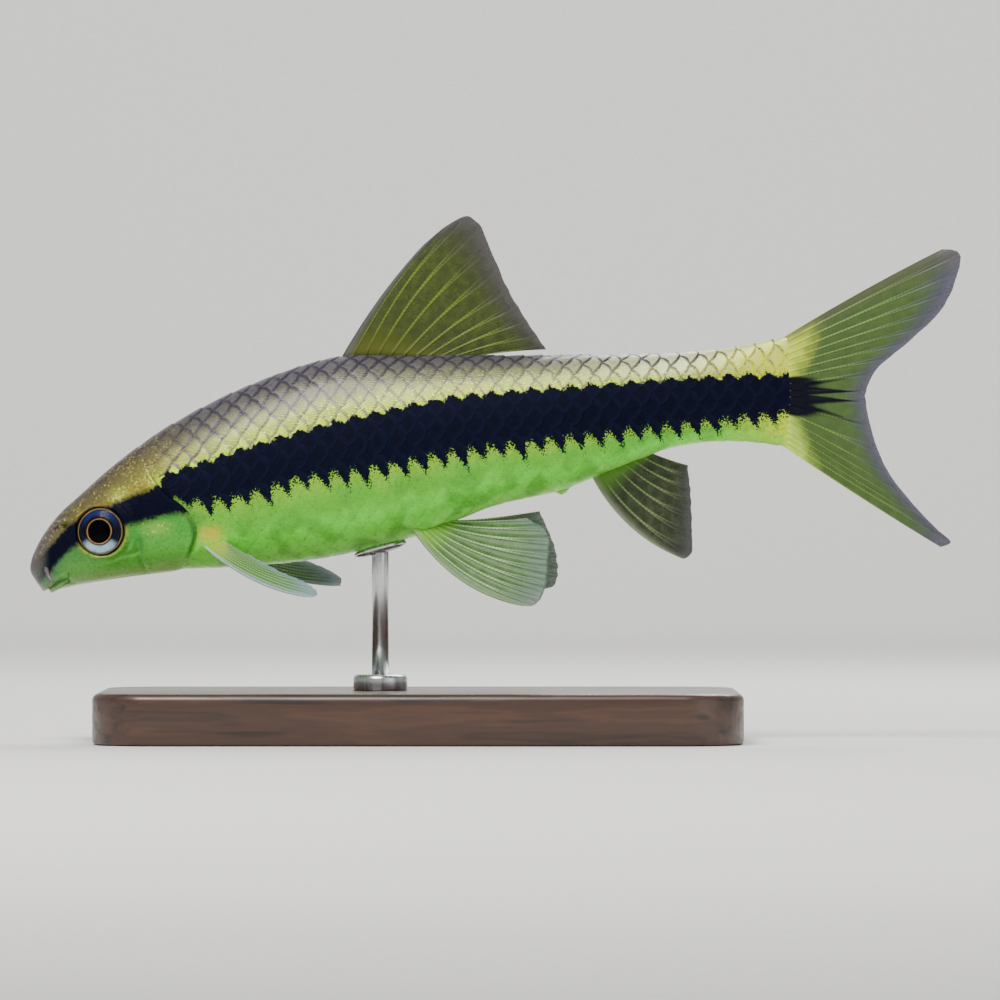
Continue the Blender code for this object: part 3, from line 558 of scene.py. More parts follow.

# %% [markdown]
# The paint itself: ramps of colour up the side, one for the trunk, one for the rims of its scales and one for
# the head, with the dark band, painted glints of glitter and gold laid over them, and painted shade in the head's
# creases. Fine noise and cells break every tone up. The skin is wet, so a thin clear coat lies over all.

# %% Paint for skin and scales
def fish_paint(name, scaled):
    """The fish's own finish. Scales also read their rim, their fan of fine grooves and their own luck."""
    paint = Finish(name)
    up, aft, band, on_head = (paint.number(title) for title in ("up", "aft", "band", "head"))
    speckle = paint.noise(2600.0, 3.0)
    blotch = paint.noise(420.0, 2.0)
    uneven = paint.math("ADD", up, paint.math("MULTIPLY", paint.math("SUBTRACT", blotch, 0.5), 0.10))
    # The pale greens at the bottom of this ramp are the belly's own colour, painted brighter as painted light that
    # offsets the shade beneath the belly.
    trunk = paint.ramp(uneven, [
        (0.0, colour(166, 252, 112)), (0.10, colour(124, 238, 74)), (0.22, colour(100, 186, 50)),
        (0.33, colour(138, 188, 50)), (0.66, colour(188, 224, 22)), (0.74, colour(150, 168, 62)),
        (0.86, colour(100, 104, 78)), (1.0, colour(80, 76, 82))])
    rear = paint.math("MULTIPLY", paint.between(aft, 0.5, 0.72), paint.between(up, 0.69, 0.80, 0.0, 0.85))
    bright = paint.mix(paint.between(aft, 0.72, 0.88), colour(224, 232, 176), colour(236, 244, 138))
    trunk = paint.mix(rear, trunk, bright)
    stalk_foot = paint.math("MULTIPLY", paint.between(aft, 0.66, 0.86, 0.0, 0.7), paint.between(up, 0.5, 0.3))
    trunk = paint.mix(stalk_foot, trunk, colour(158, 190, 50))
    deeper = paint.between(paint.noise(330.0, 1.0), 0.48, 0.66, 0.0, 0.55)
    deeper = paint.math("MULTIPLY", deeper, paint.between(up, 0.32, 0.22))
    trunk = paint.mix(deeper, trunk, colour(84, 166, 56))
    rims = paint.ramp(uneven, [
        (0.0, colour(104, 162, 62)), (0.30, colour(112, 170, 48)), (0.62, colour(112, 110, 76)),
        (0.74, colour(92, 84, 96)), (1.0, colour(58, 52, 68))])
    head = paint.ramp(uneven, [
        (0.0, colour(150, 188, 108)), (0.10, colour(96, 178, 64)), (0.28, colour(58, 150, 52)),
        (0.42, colour(68, 122, 46)), (0.66, colour(130, 122, 46)), (0.84, colour(104, 96, 60)),
        (1.0, colour(74, 64, 66))])
    muzzle = paint.between(aft, 0.0, 0.045, 0.75, 0.0)
    head = paint.mix(muzzle, head, colour(104, 94, 118))
    head = paint.mix(paint.between(aft, 0.03, 0.13, 0.4, 0.0), head, colour(78, 74, 66))
    flecks = paint.math("MULTIPLY", paint.between(paint.cells(2600.0), 0.14, 0.42, 1.0, 0.0),
                        paint.between(paint.noise(800.0, 3.0), 0.42, 0.6))
    lit = paint.between(up, 0.60, 0.75, 0.0, 0.75)
    head = paint.mix(paint.math("MULTIPLY", flecks, lit), head, colour(212, 200, 90))
    if scaled:
        rim = paint.number("rim")
        luck = paint.number("luck")
        trunk = paint.mix(paint.math("MULTIPLY", luck, 0.45), trunk, colour(150, 142, 150), "SOFT_LIGHT")
        oval = paint.ramp(uneven, [(0.66, colour(188, 210, 58)), (0.74, colour(144, 154, 80)),
                                   (0.84, colour(106, 106, 86)), (1.0, colour(94, 89, 100))])
        oval = paint.mix(paint.math("MULTIPLY", rear, 0.9), oval, bright)
        pale = paint.mix(paint.between(up, 0.64, 0.74, 0.0, 0.85), trunk, oval)
        trunk = paint.mix(paint.between(rim, 0.74, 0.44, 0.0, 1.0), trunk, pale)
        edge = paint.between(paint.math("ADD", rim, paint.math("MULTIPLY", speckle, 0.3)), 0.76, 1.06)
        edge = paint.math("MULTIPLY", edge, paint.between(up, 0.36, 0.66, 0.2, 1.0))
        trunk = paint.mix(edge, trunk, rims)
    body = paint.mix(on_head, trunk, head)
    # painted highlight: pale glitter dots laid into the colour where painted_glint is strong
    sparkle = paint.between(paint.cells(2100.0), 0.10, 0.38, 1.0, 0.25)
    body = paint.mix(paint.math("MULTIPLY", paint.number("painted_glint"), sparkle), body, colour(208, 226, 92))
    gilded = paint.mix(paint.between(aft, 0.3, 0.7), colour(204, 160, 36), colour(208, 216, 20))
    gilding = paint.math("MULTIPLY", paint.number("gold"), paint.between(speckle, 0.35, 0.6, 0.3, 0.95))
    body = paint.mix(gilding, body, gilded)
    freckles = paint.math("MULTIPLY", paint.number("gold"), paint.between(paint.cells(2900.0), 0.12, 0.24, 1.0, 0.0))
    freckles = paint.math("MULTIPLY", freckles, paint.between(aft, 0.5, 0.4, 0.0, 0.85))
    body = paint.mix(freckles, body, colour(74, 60, 30))
    # painted shade of the head's creases and pits
    body = paint.mix(paint.math("MULTIPLY", paint.number("crease_shade"), 0.8), body, colour(22, 40, 30))
    body = paint.mix(0.25, body, paint.ramp(speckle, [(0.25, colour(90, 90, 90)), (0.8, colour(225, 225, 225))]),
                     "SOFT_LIGHT")
    night = paint.mix(speckle, colour(1, 2, 10), colour(9, 12, 36))
    if scaled:
        night = paint.mix(paint.between(rim, 0.25, 1.0, 0.0, 0.4), night, colour(15, 21, 46))
    ragged = paint.math("ADD", band, paint.math("MULTIPLY", paint.math("SUBTRACT", speckle, 0.5), 0.32))
    blur = paint.math("MAXIMUM", paint.between(on_head, 0.4, 1.0, 0.035, 0.14),
                      paint.between(up, 0.50, 0.40, 0.035, 0.10))
    dark = paint.between(ragged, paint.math("SUBTRACT", 0.5, blur), paint.math("ADD", 0.5, blur))
    dots = paint.math("MULTIPLY", paint.math("SUBTRACT", band, 0.05), paint.between(up, 0.52, 0.38, 0.5, 1.6))
    dots = paint.math("MULTIPLY", dots, paint.math("SUBTRACT", 1.0, on_head))
    dots = paint.between(paint.math("SUBTRACT", dots, paint.cells(4800.0)), -0.10, 0.06)
    dark = paint.math("MULTIPLY", paint.math("MAXIMUM", dark, dots), paint.between(aft, 0.006, 0.024, 0.2, 1.0))
    body = paint.mix(dark, body, night)
    height = paint.math("MULTIPLY", speckle, 0.5)
    if scaled:
        height = paint.math("ADD", height, paint.math("MULTIPLY", paint.math(
            "SINE", paint.math("MULTIPLY", paint.number("ring"), 150.0)), 0.16))
        height = paint.math("ADD", height, paint.math("MULTIPLY", paint.math(
            "SINE", paint.math("MULTIPLY", paint.number("fan"), 26.0)), 0.30))
    else:
        height = paint.math("ADD", height, paint.between(paint.cells(1900.0), 0.0, 0.5))
    paint.bump(height, 0.25 if scaled else 0.4, 0.00008)
    rough = paint.between(speckle, 0.2, 0.8, 0.24, 0.42)
    metal = paint.math("MULTIPLY", paint.between(up, 0.62, 0.72, 0.25, 0.35), paint.between(dark, 0.2, 0.8, 1.0, 0.0))
    rough = paint.math("ADD", rough, paint.math("MULTIPLY", dark, 0.2))
    wet = paint.between(dark, 0.2, 0.9, 0.2, 0.0)
    return paint.set(Base_Color=body, Roughness=rough, Metallic=metal, Coat_Weight=wet, Coat_Roughness=0.15,
                     Specular_IOR_Level=0.05)


skin_paint = fish_paint("fish skin", False)
scale_paint = fish_paint("fish scales", True)
print("paints", skin_paint.name, "and", scale_paint.name)

# %% [markdown]
# Now the skin. Its rows run from the tip of the snout to the gill cover's edge, and from there to the tail.

# %% Skin
HEAD_ROWS, TRUNK_ROWS, SKIN_COLUMNS = 168, 150, 300


def make_skin():
    """A point of the skin for each distance behind the snout and each angle round from the back: the barrel
    there, plus the relief. Ahead of the gill cover's edge the rows are closer together."""
    degrees = np.linspace(0, 360, SKIN_COLUMNS, endpoint=False)
    edge = gill_margin(degrees)
    share = np.linspace(0, 1, HEAD_ROWS)[1:, None] ** 1.35
    ahead = share * edge
    share = np.linspace(0, 1, TRUNK_ROWS)[:, None] ** 1.15
    after = edge + 0.06 + (BODY_LENGTH + 0.8 - edge - 0.06) * share
    turn = np.broadcast_to(degrees, ahead.shape)
    front = barrel(ahead, turn, head_relief(ahead, turn))
    turn = np.broadcast_to(degrees, after.shape)
    rear = barrel(after, turn, trunk_relief(after, turn))
    points = np.concatenate([front, rear])
    rows = len(points)
    on_head = np.arange(rows)[:, None] < len(front) + 0 * degrees
    past = np.concatenate([ahead, after]) - edge
    numbers = markings(points[..., 0], points[..., 2], on_head, past)
    nose, end = (SNOUT_X, 0.0, BACK[0][1]), points[-1].mean(axis=0)
    index = np.arange(SKIN_COLUMNS)
    after_index = np.roll(index, -1)
    last = (rows - 1) * SKIN_COLUMNS
    first_cap = np.stack([index, after_index, 0 * index + rows * SKIN_COLUMNS], axis=1)
    last_cap = np.stack([last + after_index, last + index, 0 * index + rows * SKIN_COLUMNS + 1], axis=1)
    squares = grid_faces(rows, SKIN_COLUMNS, around=True)
    everything = np.concatenate([points.reshape(-1, 3), [nose, end]])
    kept = {title: np.concatenate([np.broadcast_to(values, (rows, SKIN_COLUMNS)).ravel(),
                                   [np.ravel(values)[0], np.ravel(values)[-1]]]) for title, values in numbers.items()}
    return make_piece("skin", everything, [first_cap, squares, last_cap], skin_paint,
                      ("head", "trunk", "tail_stalk"), kept)


skin = make_skin()

# %% [markdown]
# Scales lie like roof tiles: the free rear edge of each covers the sunken front of the next, and every second
# row is set half a scale back. The rows follow the middle of the stripe. To place them, distances round the
# body are measured from that line along the skin, so that a scale can be laid out flat and then wrapped on.

# %% Distances round the body
ROW_PITCH = 1.52
WRAP_STATIONS = np.linspace(10.0, 93.0, 260)
WRAP_ANGLES = np.linspace(-60, 240, 601)
WRAP_REACH = np.linspace(-22, 22, 353)


def unwrap_table():
    """For each station and each distance up from the stripe's middle, the angle round from the back."""
    table = np.empty((len(WRAP_STATIONS), len(WRAP_REACH)))
    ends = np.empty((len(WRAP_STATIONS), 2))
    for row, behind in enumerate(WRAP_STATIONS):
        ring = barrel(np.full(len(WRAP_ANGLES), behind), WRAP_ANGLES)
        walked = np.concatenate([[0], np.cumsum(np.linalg.norm(np.diff(ring, axis=0), axis=1))])
        x = SNOUT_X + behind
        middle = (smooth_through(STRIPE_TOP, x) + smooth_through(STRIPE_FOOT, x)) / 2
        side = (WRAP_ANGLES > 5) & (WRAP_ANGLES < 175)
        start = np.interp(-middle, -ring[side, 2], walked[side])
        table[row] = np.interp(start - WRAP_REACH, walked, WRAP_ANGLES)
        ends[row] = start - np.interp([180, 0], WRAP_ANGLES, walked)
    return table, ends


wrap_angle, wrap_ends = unwrap_table()


def angle_at(behind, up):
    """The angle round from the back at a distance behind the snout and a distance up from the stripe."""
    row = np.clip((behind - WRAP_STATIONS[0]) / (WRAP_STATIONS[1] - WRAP_STATIONS[0]), 0, len(WRAP_STATIONS) - 1.001)
    column = np.clip((up - WRAP_REACH[0]) / (WRAP_REACH[1] - WRAP_REACH[0]), 0, len(WRAP_REACH) - 1.001)
    i, j = row.astype(int), column.astype(int)
    a, b = row - i, column - j
    return ((1 - a) * ((1 - b) * wrap_angle[i, j] + b * wrap_angle[i, j + 1])
            + a * ((1 - b) * wrap_angle[i + 1, j] + b * wrap_angle[i + 1, j + 1]))


print("half way round the body", round(float(np.ptp(wrap_ends, axis=1).max()), 1), "mm")

# %% [markdown]
# One scale is a thin closed lens, rounded like the real one. It is made once, flat, and then laid on the skin
# at every place at the same time: numpy adds each place to each point of the pattern.

# %% Scales
SCALE_ACROSS, SCALE_ALONG = 13, 13
SCALE_HALF_LENGTH, SCALE_HALF_WIDTH = 1.72, 1.62
SCALE_THICK = 0.05
SINK, RISE = -0.10, 0.13
LATERAL_ROW = -2


def scale_places():
    """Middles of all scales of one side: distance behind the snout, distance up from the stripe, row."""
    found = []
    for row in range(-14, 15):
        up = row * ROW_PITCH
        behind = 13.0 + SCALE_PITCH * (np.arange(36) + 0.5 * (row % 2))
        low = np.interp(behind, WRAP_STATIONS, wrap_ends[:, 0])
        high = np.interp(behind, WRAP_STATIONS, wrap_ends[:, 1])
        turn = angle_at(behind, np.full_like(behind, up))
        free = (behind > gill_margin(turn) + 0.15) & (behind < BODY_LENGTH - 0.7)
        inside = (up > low + 0.25 * ROW_PITCH) & (up < high - 0.15 * ROW_PITCH)
        for place in behind[free & inside]:
            found.append((place, up, row))
    return np.array(found)


def make_scales(side, first, last, places, chance):
    """Scales of one side. Along a scale p runs from 0 at its sunken front to 1 at its free rear edge, across
    it q runs from -1 to 1, and its half width is that of an ellipse. It rises evenly from front to rear."""
    at = places[first:last]
    luck = chance[first:last]
    p = (1 - np.cos(np.linspace(0.06, math.pi, SCALE_ALONG))) / 2
    q = np.sin(np.linspace(-math.pi / 2, math.pi / 2, SCALE_ACROSS))
    p, q = np.meshgrid(p, q, indexing="ij")
    half = SCALE_HALF_WIDTH * np.maximum(1 - np.abs(2 * p - 1) ** 2.1, 0) ** 0.5
    size = (0.97 + 0.07 * luck[:, 1])[:, None, None]
    tail = step(74, 90, at[:, 0])[:, None, None]
    along = (2 * p - 1) * SCALE_HALF_LENGTH * size * (1 - 0.18 * tail)
    across = q * half * size
    turn = ((luck[:, 2] - 0.5) * 0.12)[:, None, None]
    behind = at[:, 0][:, None, None] + along * np.cos(turn) - across * np.sin(turn)
    up = at[:, 1][:, None, None] + across * np.cos(turn) + along * np.sin(turn)
    degrees = angle_at(behind, up)
    lift = (luck[:, 3] * 0.03)[:, None, None]
    dome = 0.05 * (1 - q**2) * np.sin(math.pi * p)
    canal = (at[:, 2] == LATERAL_ROW)[:, None, None] * 0.05 * bell(q, 0.22) * step(0.25, 0.5, p)
    raised = (0.55 + 0.45 * step(-2.0, 1.0, at[:, 1])[:, None, None]) * (1 - 0.5 * tail)
    height = SINK + (RISE - SINK + lift) * raised * p + dome + canal - 0.10 * step(0.0, 1.4, -(behind - gill_margin(degrees)))
    edge = np.minimum(1 - np.abs(q), 1 - p) * 4
    thick = SCALE_THICK * np.clip(edge, 0.25, 1)
    numbers = markings(SNOUT_X + behind, barrel(behind, degrees)[..., 2], False, behind - gill_margin(degrees))
    reach = np.hypot((p - 0.42) * 2, q * half / SCALE_HALF_WIDTH)
    rim = np.clip(np.maximum(np.hypot(np.maximum(2 * p - 1, 0), q * (2 * p > 1)), 2 * p - 1), 0, 1)
    numbers.update(rim=rim**2, ring=reach, fan=np.arctan2(q * half, (p - 0.3) * 2), luck=luck[:, 0][:, None, None])
    top = barrel(behind, degrees, height)
    base = barrel(behind, degrees, height - thick)
    points = np.stack([top, base], axis=1) * (1, side, 1)
    size_one = SCALE_ALONG * SCALE_ACROSS
    face = grid_faces(SCALE_ALONG, SCALE_ACROSS)
    index = np.arange(size_one).reshape(SCALE_ALONG, SCALE_ACROSS)
    rim_line = np.concatenate([index[0, :-1], index[:-1, -1], index[-1, :0:-1], index[:0:-1, 0]])
    after = np.roll(rim_line, -1)
    wall = np.stack([after, rim_line, rim_line + size_one, after + size_one], axis=1)
    one = np.concatenate([face[:, ::-1], face + size_one, wall])
    if side > 0:
        one = one[:, ::-1]
    count = len(at)
    faces = (one[None] + (np.arange(count) * 2 * size_one)[:, None, None]).reshape(-1, 4)
    both = {title: np.repeat(np.broadcast_to(values, behind.shape)[:, None], 2, axis=1).ravel()
            for title, values in numbers.items()}
    root_u = (at[:, 0] - 8) / 84 * 0.94 + 0.02
    root_v = 0.5 + side * (0.25 - at[:, 1] / 60 * 0.5 * side * side)
    local = np.stack([p - 0.5, q / 2], axis=-1).reshape(1, 1, size_one, 2) * 0.003
    spread = (np.stack([root_u, root_v], axis=-1)[:, None, None, :] + local).repeat(2, axis=1).reshape(-1, 2)
    name = f"scales_{'left' if side < 0 else 'right'}_{first // SCALES_A_PIECE + 1}"
    return make_piece(name, points.reshape(-1, 3), [faces], scale_paint, ("head", "trunk", "tail_stalk"),
                      both, spread)


SCALES_A_PIECE = 280
places = scale_places()
draw = np.random.default_rng(7)
for side in (-1, 1):
    chance = draw.random((len(places), 5))
    for first in range(0, len(places), SCALES_A_PIECE):
        make_scales(side, first, min(first + SCALES_A_PIECE, len(places)), places, chance)
print(len(places), "scales on each side")

# %% [markdown]
# The eye has three layers: the ball with its iris and the sunken pupil, the dark lens that fills the pupil,
# and the clear cornea that domes over both. Each is a surface turned about the eye's own axis.

# %% Eyes
EYE_HALF_DEPTH, EYE_PROUD = 1.8, 0.9
PUPIL = 1.40
IRIS_EDGE = 2.86


def eye_surface(side, heights, reach, steps=96, lift=0.0):
    """Points at each distance from the eye's axis and each angle round it. The height above the skin is given
    for every distance."""
    place, out = flank(EYE_X, EYE_Z, side)
    aside = unit(np.cross(np.array([0.0, 0.0, 1.0]), out)) * side * -1
    up = unit(np.cross(out, aside)) * side * -1
    up = up * np.sign(up[2])
    clock = np.linspace(0, 2 * math.pi, steps, endpoint=False)
    spokes = np.cos(clock)[:, None] * up + np.sin(clock)[:, None] * aside
    points = place + heights[:, None, None] * out + reach[:, None, None] * spokes + up * lift
    return points, np.broadcast_to(clock, points.shape[:2])


def dome(reach):
    """Height of the ball above the skin: an ellipse's height less the part that is sunk."""
    return EYE_HALF_DEPTH * np.sqrt(np.maximum(1 - (reach / EYE_RADIUS) ** 2, 0)) - EYE_HALF_DEPTH + EYE_PROUD


def disc_piece(name, points, clock, reach, look, side, node):
    """A turned surface with its middle closed by a fan."""
    rows, steps, _ = points.shape
    index = np.arange(steps)
    cap = np.stack([index, np.roll(index, -1), 0 * index + rows * steps], axis=1)
    faces = grid_faces(rows, steps, around=True)
    middle = points[0].mean(axis=0)
    numbers = {"reach": np.append(np.repeat(reach / EYE_RADIUS, steps), 0.0),
               "clock": np.append(clock.ravel(), 0.0), "high": np.append(np.cos(clock).ravel(), 0.0)}
    return make_piece(name, np.concatenate([points.reshape(-1, 3), [middle]]), [cap, faces], look, (node,),
                      numbers)


def iris_paint():
    """Navy above, a pale blue crescent below, and thin gold rings round pupil and rim."""
    paint = Finish("iris")
    reach, high = paint.number("reach"), paint.number("high")
    fibre = paint.noise(1400.0, 3.0)
    rings = paint.ramp(paint.math("ADD", reach, paint.math("MULTIPLY", fibre, 0.03)), [
        (0.415, colour(2, 2, 5)), (0.435, colour(232, 190, 120)), (0.455, colour(206, 150, 70)),
        (0.475, colour(3, 4, 14)), (0.66, colour(6, 9, 36)), (0.76, colour(3, 4, 14)),
        (0.795, colour(6, 6, 16)), (0.812, colour(170, 140, 70)), (0.84, colour(24, 22, 30))], smooth=False)
    low = paint.between(high, -0.42, -0.82)
    ring = paint.math("MULTIPLY", paint.between(reach, 0.47, 0.56), paint.between(reach, 0.80, 0.72))
    crescent = paint.math("MULTIPLY", paint.math("MULTIPLY", low, ring), paint.between(fibre, 0.2, 0.55, 0.6, 1.0))
    shade = paint.mix(crescent, rings, colour(176, 206, 226))
    # painted sheen: a lighter blue laid over the top of the iris, where light from above reflects
    painted_top_sheen = paint.math("MULTIPLY", paint.between(high, 0.1, 0.95), paint.between(reach, 0.50, 0.62))
    painted_top_sheen = paint.math("MULTIPLY", painted_top_sheen, paint.between(reach, 0.80, 0.74, 0.0, 0.8))
    shade = paint.mix(painted_top_sheen, shade, colour(24, 34, 92))
    paint.bump(fibre, 0.15, 0.00005)
    return paint.set(Base_Color=shade, Roughness=paint.between(fibre, 0.2, 0.8, 0.42, 0.55),
                     Metallic=paint.math("MULTIPLY", crescent, 0.2), Specular_IOR_Level=0.06)


def clear_paint():
    paint = Finish("cornea")
    tear = paint.noise(500.0, 1.0)
    return paint.set(Base_Color=paint.ramp(tear, [(0.3, colour(250, 252, 255)), (0.7, colour(255, 255, 252))]),
                     Roughness=paint.between(tear, 0.3, 0.7, 0.0, 0.02), Transmission_Weight=1.0, IOR=1.14)


def lens_paint():
    paint = Finish("pupil")
    return paint.set(Base_Color=paint.ramp(paint.noise(900.0), [(0.3, colour(1, 1, 2)), (0.7, colour(3, 4, 7))]),
                     Roughness=0.8, Specular_IOR_Level=0.0)


iris, cornea, lens = iris_paint(), clear_paint(), lens_paint()
for side, word in ((-1, "left"), (1, "right")):
    node = "eye_" + word
    reach = np.concatenate([np.linspace(PUPIL - 0.25, PUPIL, 5), np.linspace(PUPIL + 0.03, EYE_RADIUS, 40)])
    flat_iris = 0.86 * dome(reach) - 0.10 - 0.45 * (1 - step(PUPIL - 0.25, PUPIL + 0.05, reach))
    heights = np.where(reach < IRIS_EDGE, flat_iris, np.minimum(dome(reach), flat_iris + 0.5))
    points, clock = eye_surface(side, heights, reach)
    disc_piece("iris_" + word, points, clock, reach, iris, side, node)
    reach = np.linspace(0.08, PUPIL + 0.02, 16)
    points, clock = eye_surface(side, dome(0.0) - 0.42 + 0.22 * np.cos(reach / PUPIL * 1.4), reach)
    disc_piece("pupil_" + word, points, clock, reach, lens, side, node)
    reach = np.linspace(0.08, EYE_RADIUS - 0.12, 40)
    points, clock = eye_surface(side, dome(reach) + 0.02, reach)
    disc_piece("cornea_" + word, points, clock, reach, cornea, side, node)
print("pupils", 2 * PUPIL, "mm across")

# %% [markdown]
# A barbel is a soft tube that narrows to its tip. The surface is a circle carried along a path, always square
# to it.

# %% Barbels
def tube_points(path, radius, around=28):
    """A circle round each point of a path, square to the path there."""
    path = np.asarray(path, float)
    along = unit(np.gradient(path, axis=0))
    first = unit(np.cross(along, np.array([0.31, 0.11, 0.94])))
    second = np.cross(along, first)
    turn = np.linspace(0, 2 * math.pi, around, endpoint=False)
    ring = np.cos(turn)[:, None] * first[:, None] + np.sin(turn)[:, None] * second[:, None]
    return path[:, None] + ring * np.broadcast_to(radius, len(path))[:, None, None]


def closed_faces(rows, around):
    """Squares round a tube of rings, and a fan at each end to the two points that follow the rings."""
    index = np.arange(around)
    after = np.roll(index, -1)
    last = (rows - 1) * around
    return [np.stack([index, after, 0 * index + rows * around], axis=1),
            grid_faces(rows, around, around=True),
            np.stack([last + after, last + index, 0 * index + rows * around + 1], axis=1)]


def closed_points(rings):
    return np.concatenate([rings.reshape(-1, 3), [rings[0].mean(axis=0), rings[-1].mean(axis=0)]])


def barbel_paint():
    paint = Finish("barbel skin")
    grain = paint.noise(2400.0, 3.0)
    shade = paint.ramp(grain, [(0.25, colour(62, 54, 60)), (0.75, colour(98, 86, 92))])
    paint.bump(grain, 0.4, 0.00006)
    return paint.set(Base_Color=shade, Roughness=paint.between(grain, 0.2, 0.8, 0.3, 0.5), Coat_Weight=0.3,
                     Coat_Roughness=0.15)


barbel_look = barbel_paint()
for side, word in ((-1, "left"), (1, "right")):
    root, out = flank(-52.9, 20.3, side)
    share = np.linspace(-0.18, 1, 44)
    path = root + out * share[:, None] * (1 - share[:, None]) + np.array([0.9, 1.3 * side, -1.5]) * share[:, None]
    width = (0.27 - 0.17 * np.clip(share, 0, 1)) * np.sqrt(np.clip((1.012 - share) / 0.06, 0, 1)) + 0.002
    rings = tube_points(path, width + 0.006 * np.sin(share * 60))
    make_piece("barbel_" + word + "_soft", closed_points(rings), closed_faces(len(rings), 28), barbel_look,
               ("barbel_" + word,))
print("barbels done")

# %% [markdown]
# A fin is a thin sheet stiffened by rays. Each ray is a curve from root to tip, drawn towards a third point.
# A soft ray is made of many short joints and splits into two and then four towards its tip. The sheet is
# thicker where a ray runs inside it, and its edge steps in a little between the rays.

# %% Fins
POINTS_A_GAP = 20
ROOT_REACH = 4.6


def ray_curve(roots, tips, bends, share):
    """A curve with its middle drawn aside: (1 - t)^2 root + 2 t (1 - t) pull + t^2 tip."""
    pull = (roots + tips) / 2 + bends
    return (1 - share) ** 2 * roots + 2 * share * (1 - share) * pull + share**2 * tips


def ray_profile(ray, share, spacing, rays, stout, draw):
    """How much of a point is ray, 1 on a ray's crest and 0 on the membrane, with the splits of soft rays."""
    found = np.zeros(np.broadcast_shapes(ray.shape, share.shape))
    for k in range(rays):
        split = 0.30 + 0.10 * draw.random()
        again = split + 0.26 + 0.08 * draw.random()
        hard = k < stout[0] or k >= rays - stout[1]
        first = 0.0 if hard else 0.23 * step(split, 1.25, share)
        second = 0.0 if hard else 0.12 * step(again, 1.3, share)
        width = (0.17 if hard else 0.13) * (1 - 0.45 * share) + 0.012
        for a in (-1, 1):
            for b in (-1, 1):
                away = (ray - k - a * first - b * second) * spacing
                found = np.maximum(found, bell(away, width))
    return found


def make_fin(name, shape, rays, rows, look, stands_for, root_thick=0.0, stout=(1, 0), ripple=0.10, seed=1):
    """A closed sheet. shape gives roots, tips and bends for every share of the fin's width. Both faces stand
    off the middle surface by the membrane's half thickness plus a ridge along each ray and its branches. At the
    root the sheet swells by root_thick and dies away over ROOT_REACH, so that the fin grows out of the body."""
    columns = (rays - 1) * POINTS_A_GAP + 1
    across_share = np.linspace(0, 1, columns)
    ray = across_share * (rays - 1)
    roots, tips, bends = shape(across_share)
    length = np.linalg.norm(tips - roots, axis=1)
    draw = np.random.default_rng(seed)
    frays = smooth_through(np.stack([np.arange(rays * 4), 0.14 * draw.random(rays * 4)], axis=1), ray * 4)
    hollow = 0.5 - 0.5 * np.cos(2 * math.pi * ray)
    notch = (0.06 * hollow + 0.02 * (0.5 - 0.5 * np.cos(8 * math.pi * ray)) + 0.5 * frays) / length
    share = (np.linspace(0, 1, rows)[:, None] ** 0.92) * (1 - notch)
    middle = ray_curve(roots, tips, bends, share[..., None])
    along = np.gradient(middle, axis=0)
    across = np.gradient(middle, axis=1)
    out = unit(np.cross(across, along))
    spacing = np.linalg.norm(across, axis=-1) * POINTS_A_GAP
    crest = ray_profile(ray, share, spacing, rays, stout, draw)
    middle = middle + out * (ripple * share * (hollow - 0.5) + 0.6 * ripple * np.sin(ray * 1.3 + 5 * share) * share**2)[
        ..., None]
    thin = step(0.90, 1.0, share)
    walked = share * length
    swell = (1 - step(0.0, ROOT_REACH, walked)) ** 2 * np.sqrt(1 - 0.98 * (2 * across_share - 1) ** 2)
    sunk = step(0.2, 1.4, walked)
    half = 0.05 + sunk * (crest * 0.13 * (1 - 0.6 * share) + root_thick * swell)
    half = half * (1 - 0.55 * thin)
    points = np.concatenate([(middle + out * half[..., None]).reshape(-1, 3),
                             (middle - out * half[..., None]).reshape(-1, 3)])
    face = grid_faces(rows, columns)
    size = rows * columns
    index = np.arange(size).reshape(rows, columns)
    edge = np.concatenate([index[0, :-1], index[:-1, -1], index[-1, :0:-1], index[:0:-1, 0]])
    after = np.roll(edge, -1)
    wall = np.stack([after, edge, edge + size, after + size], axis=1)
    faces = [face[:, ::-1], face + size, wall]
    solid_sign = np.einsum("ij,ij->i", np.cross(points[face[:1, 1]] - points[face[:1, 0]],
                                                 points[face[:1, 2]] - points[face[:1, 0]]), out[:1, 0])[0]
    if solid_sign > 0:
        faces = [squares[:, ::-1] for squares in faces]
    numbers = {"ray": crest, "walked": walked, "out": share + 0 * ray, "lead": across_share + 0 * share,
               "gap": hollow + 0 * share}
    both = {title: np.tile(np.broadcast_to(values, (rows, columns)).ravel(), 2) for title, values in numbers.items()}
    return make_piece(name, points, faces, look, stands_for, both)


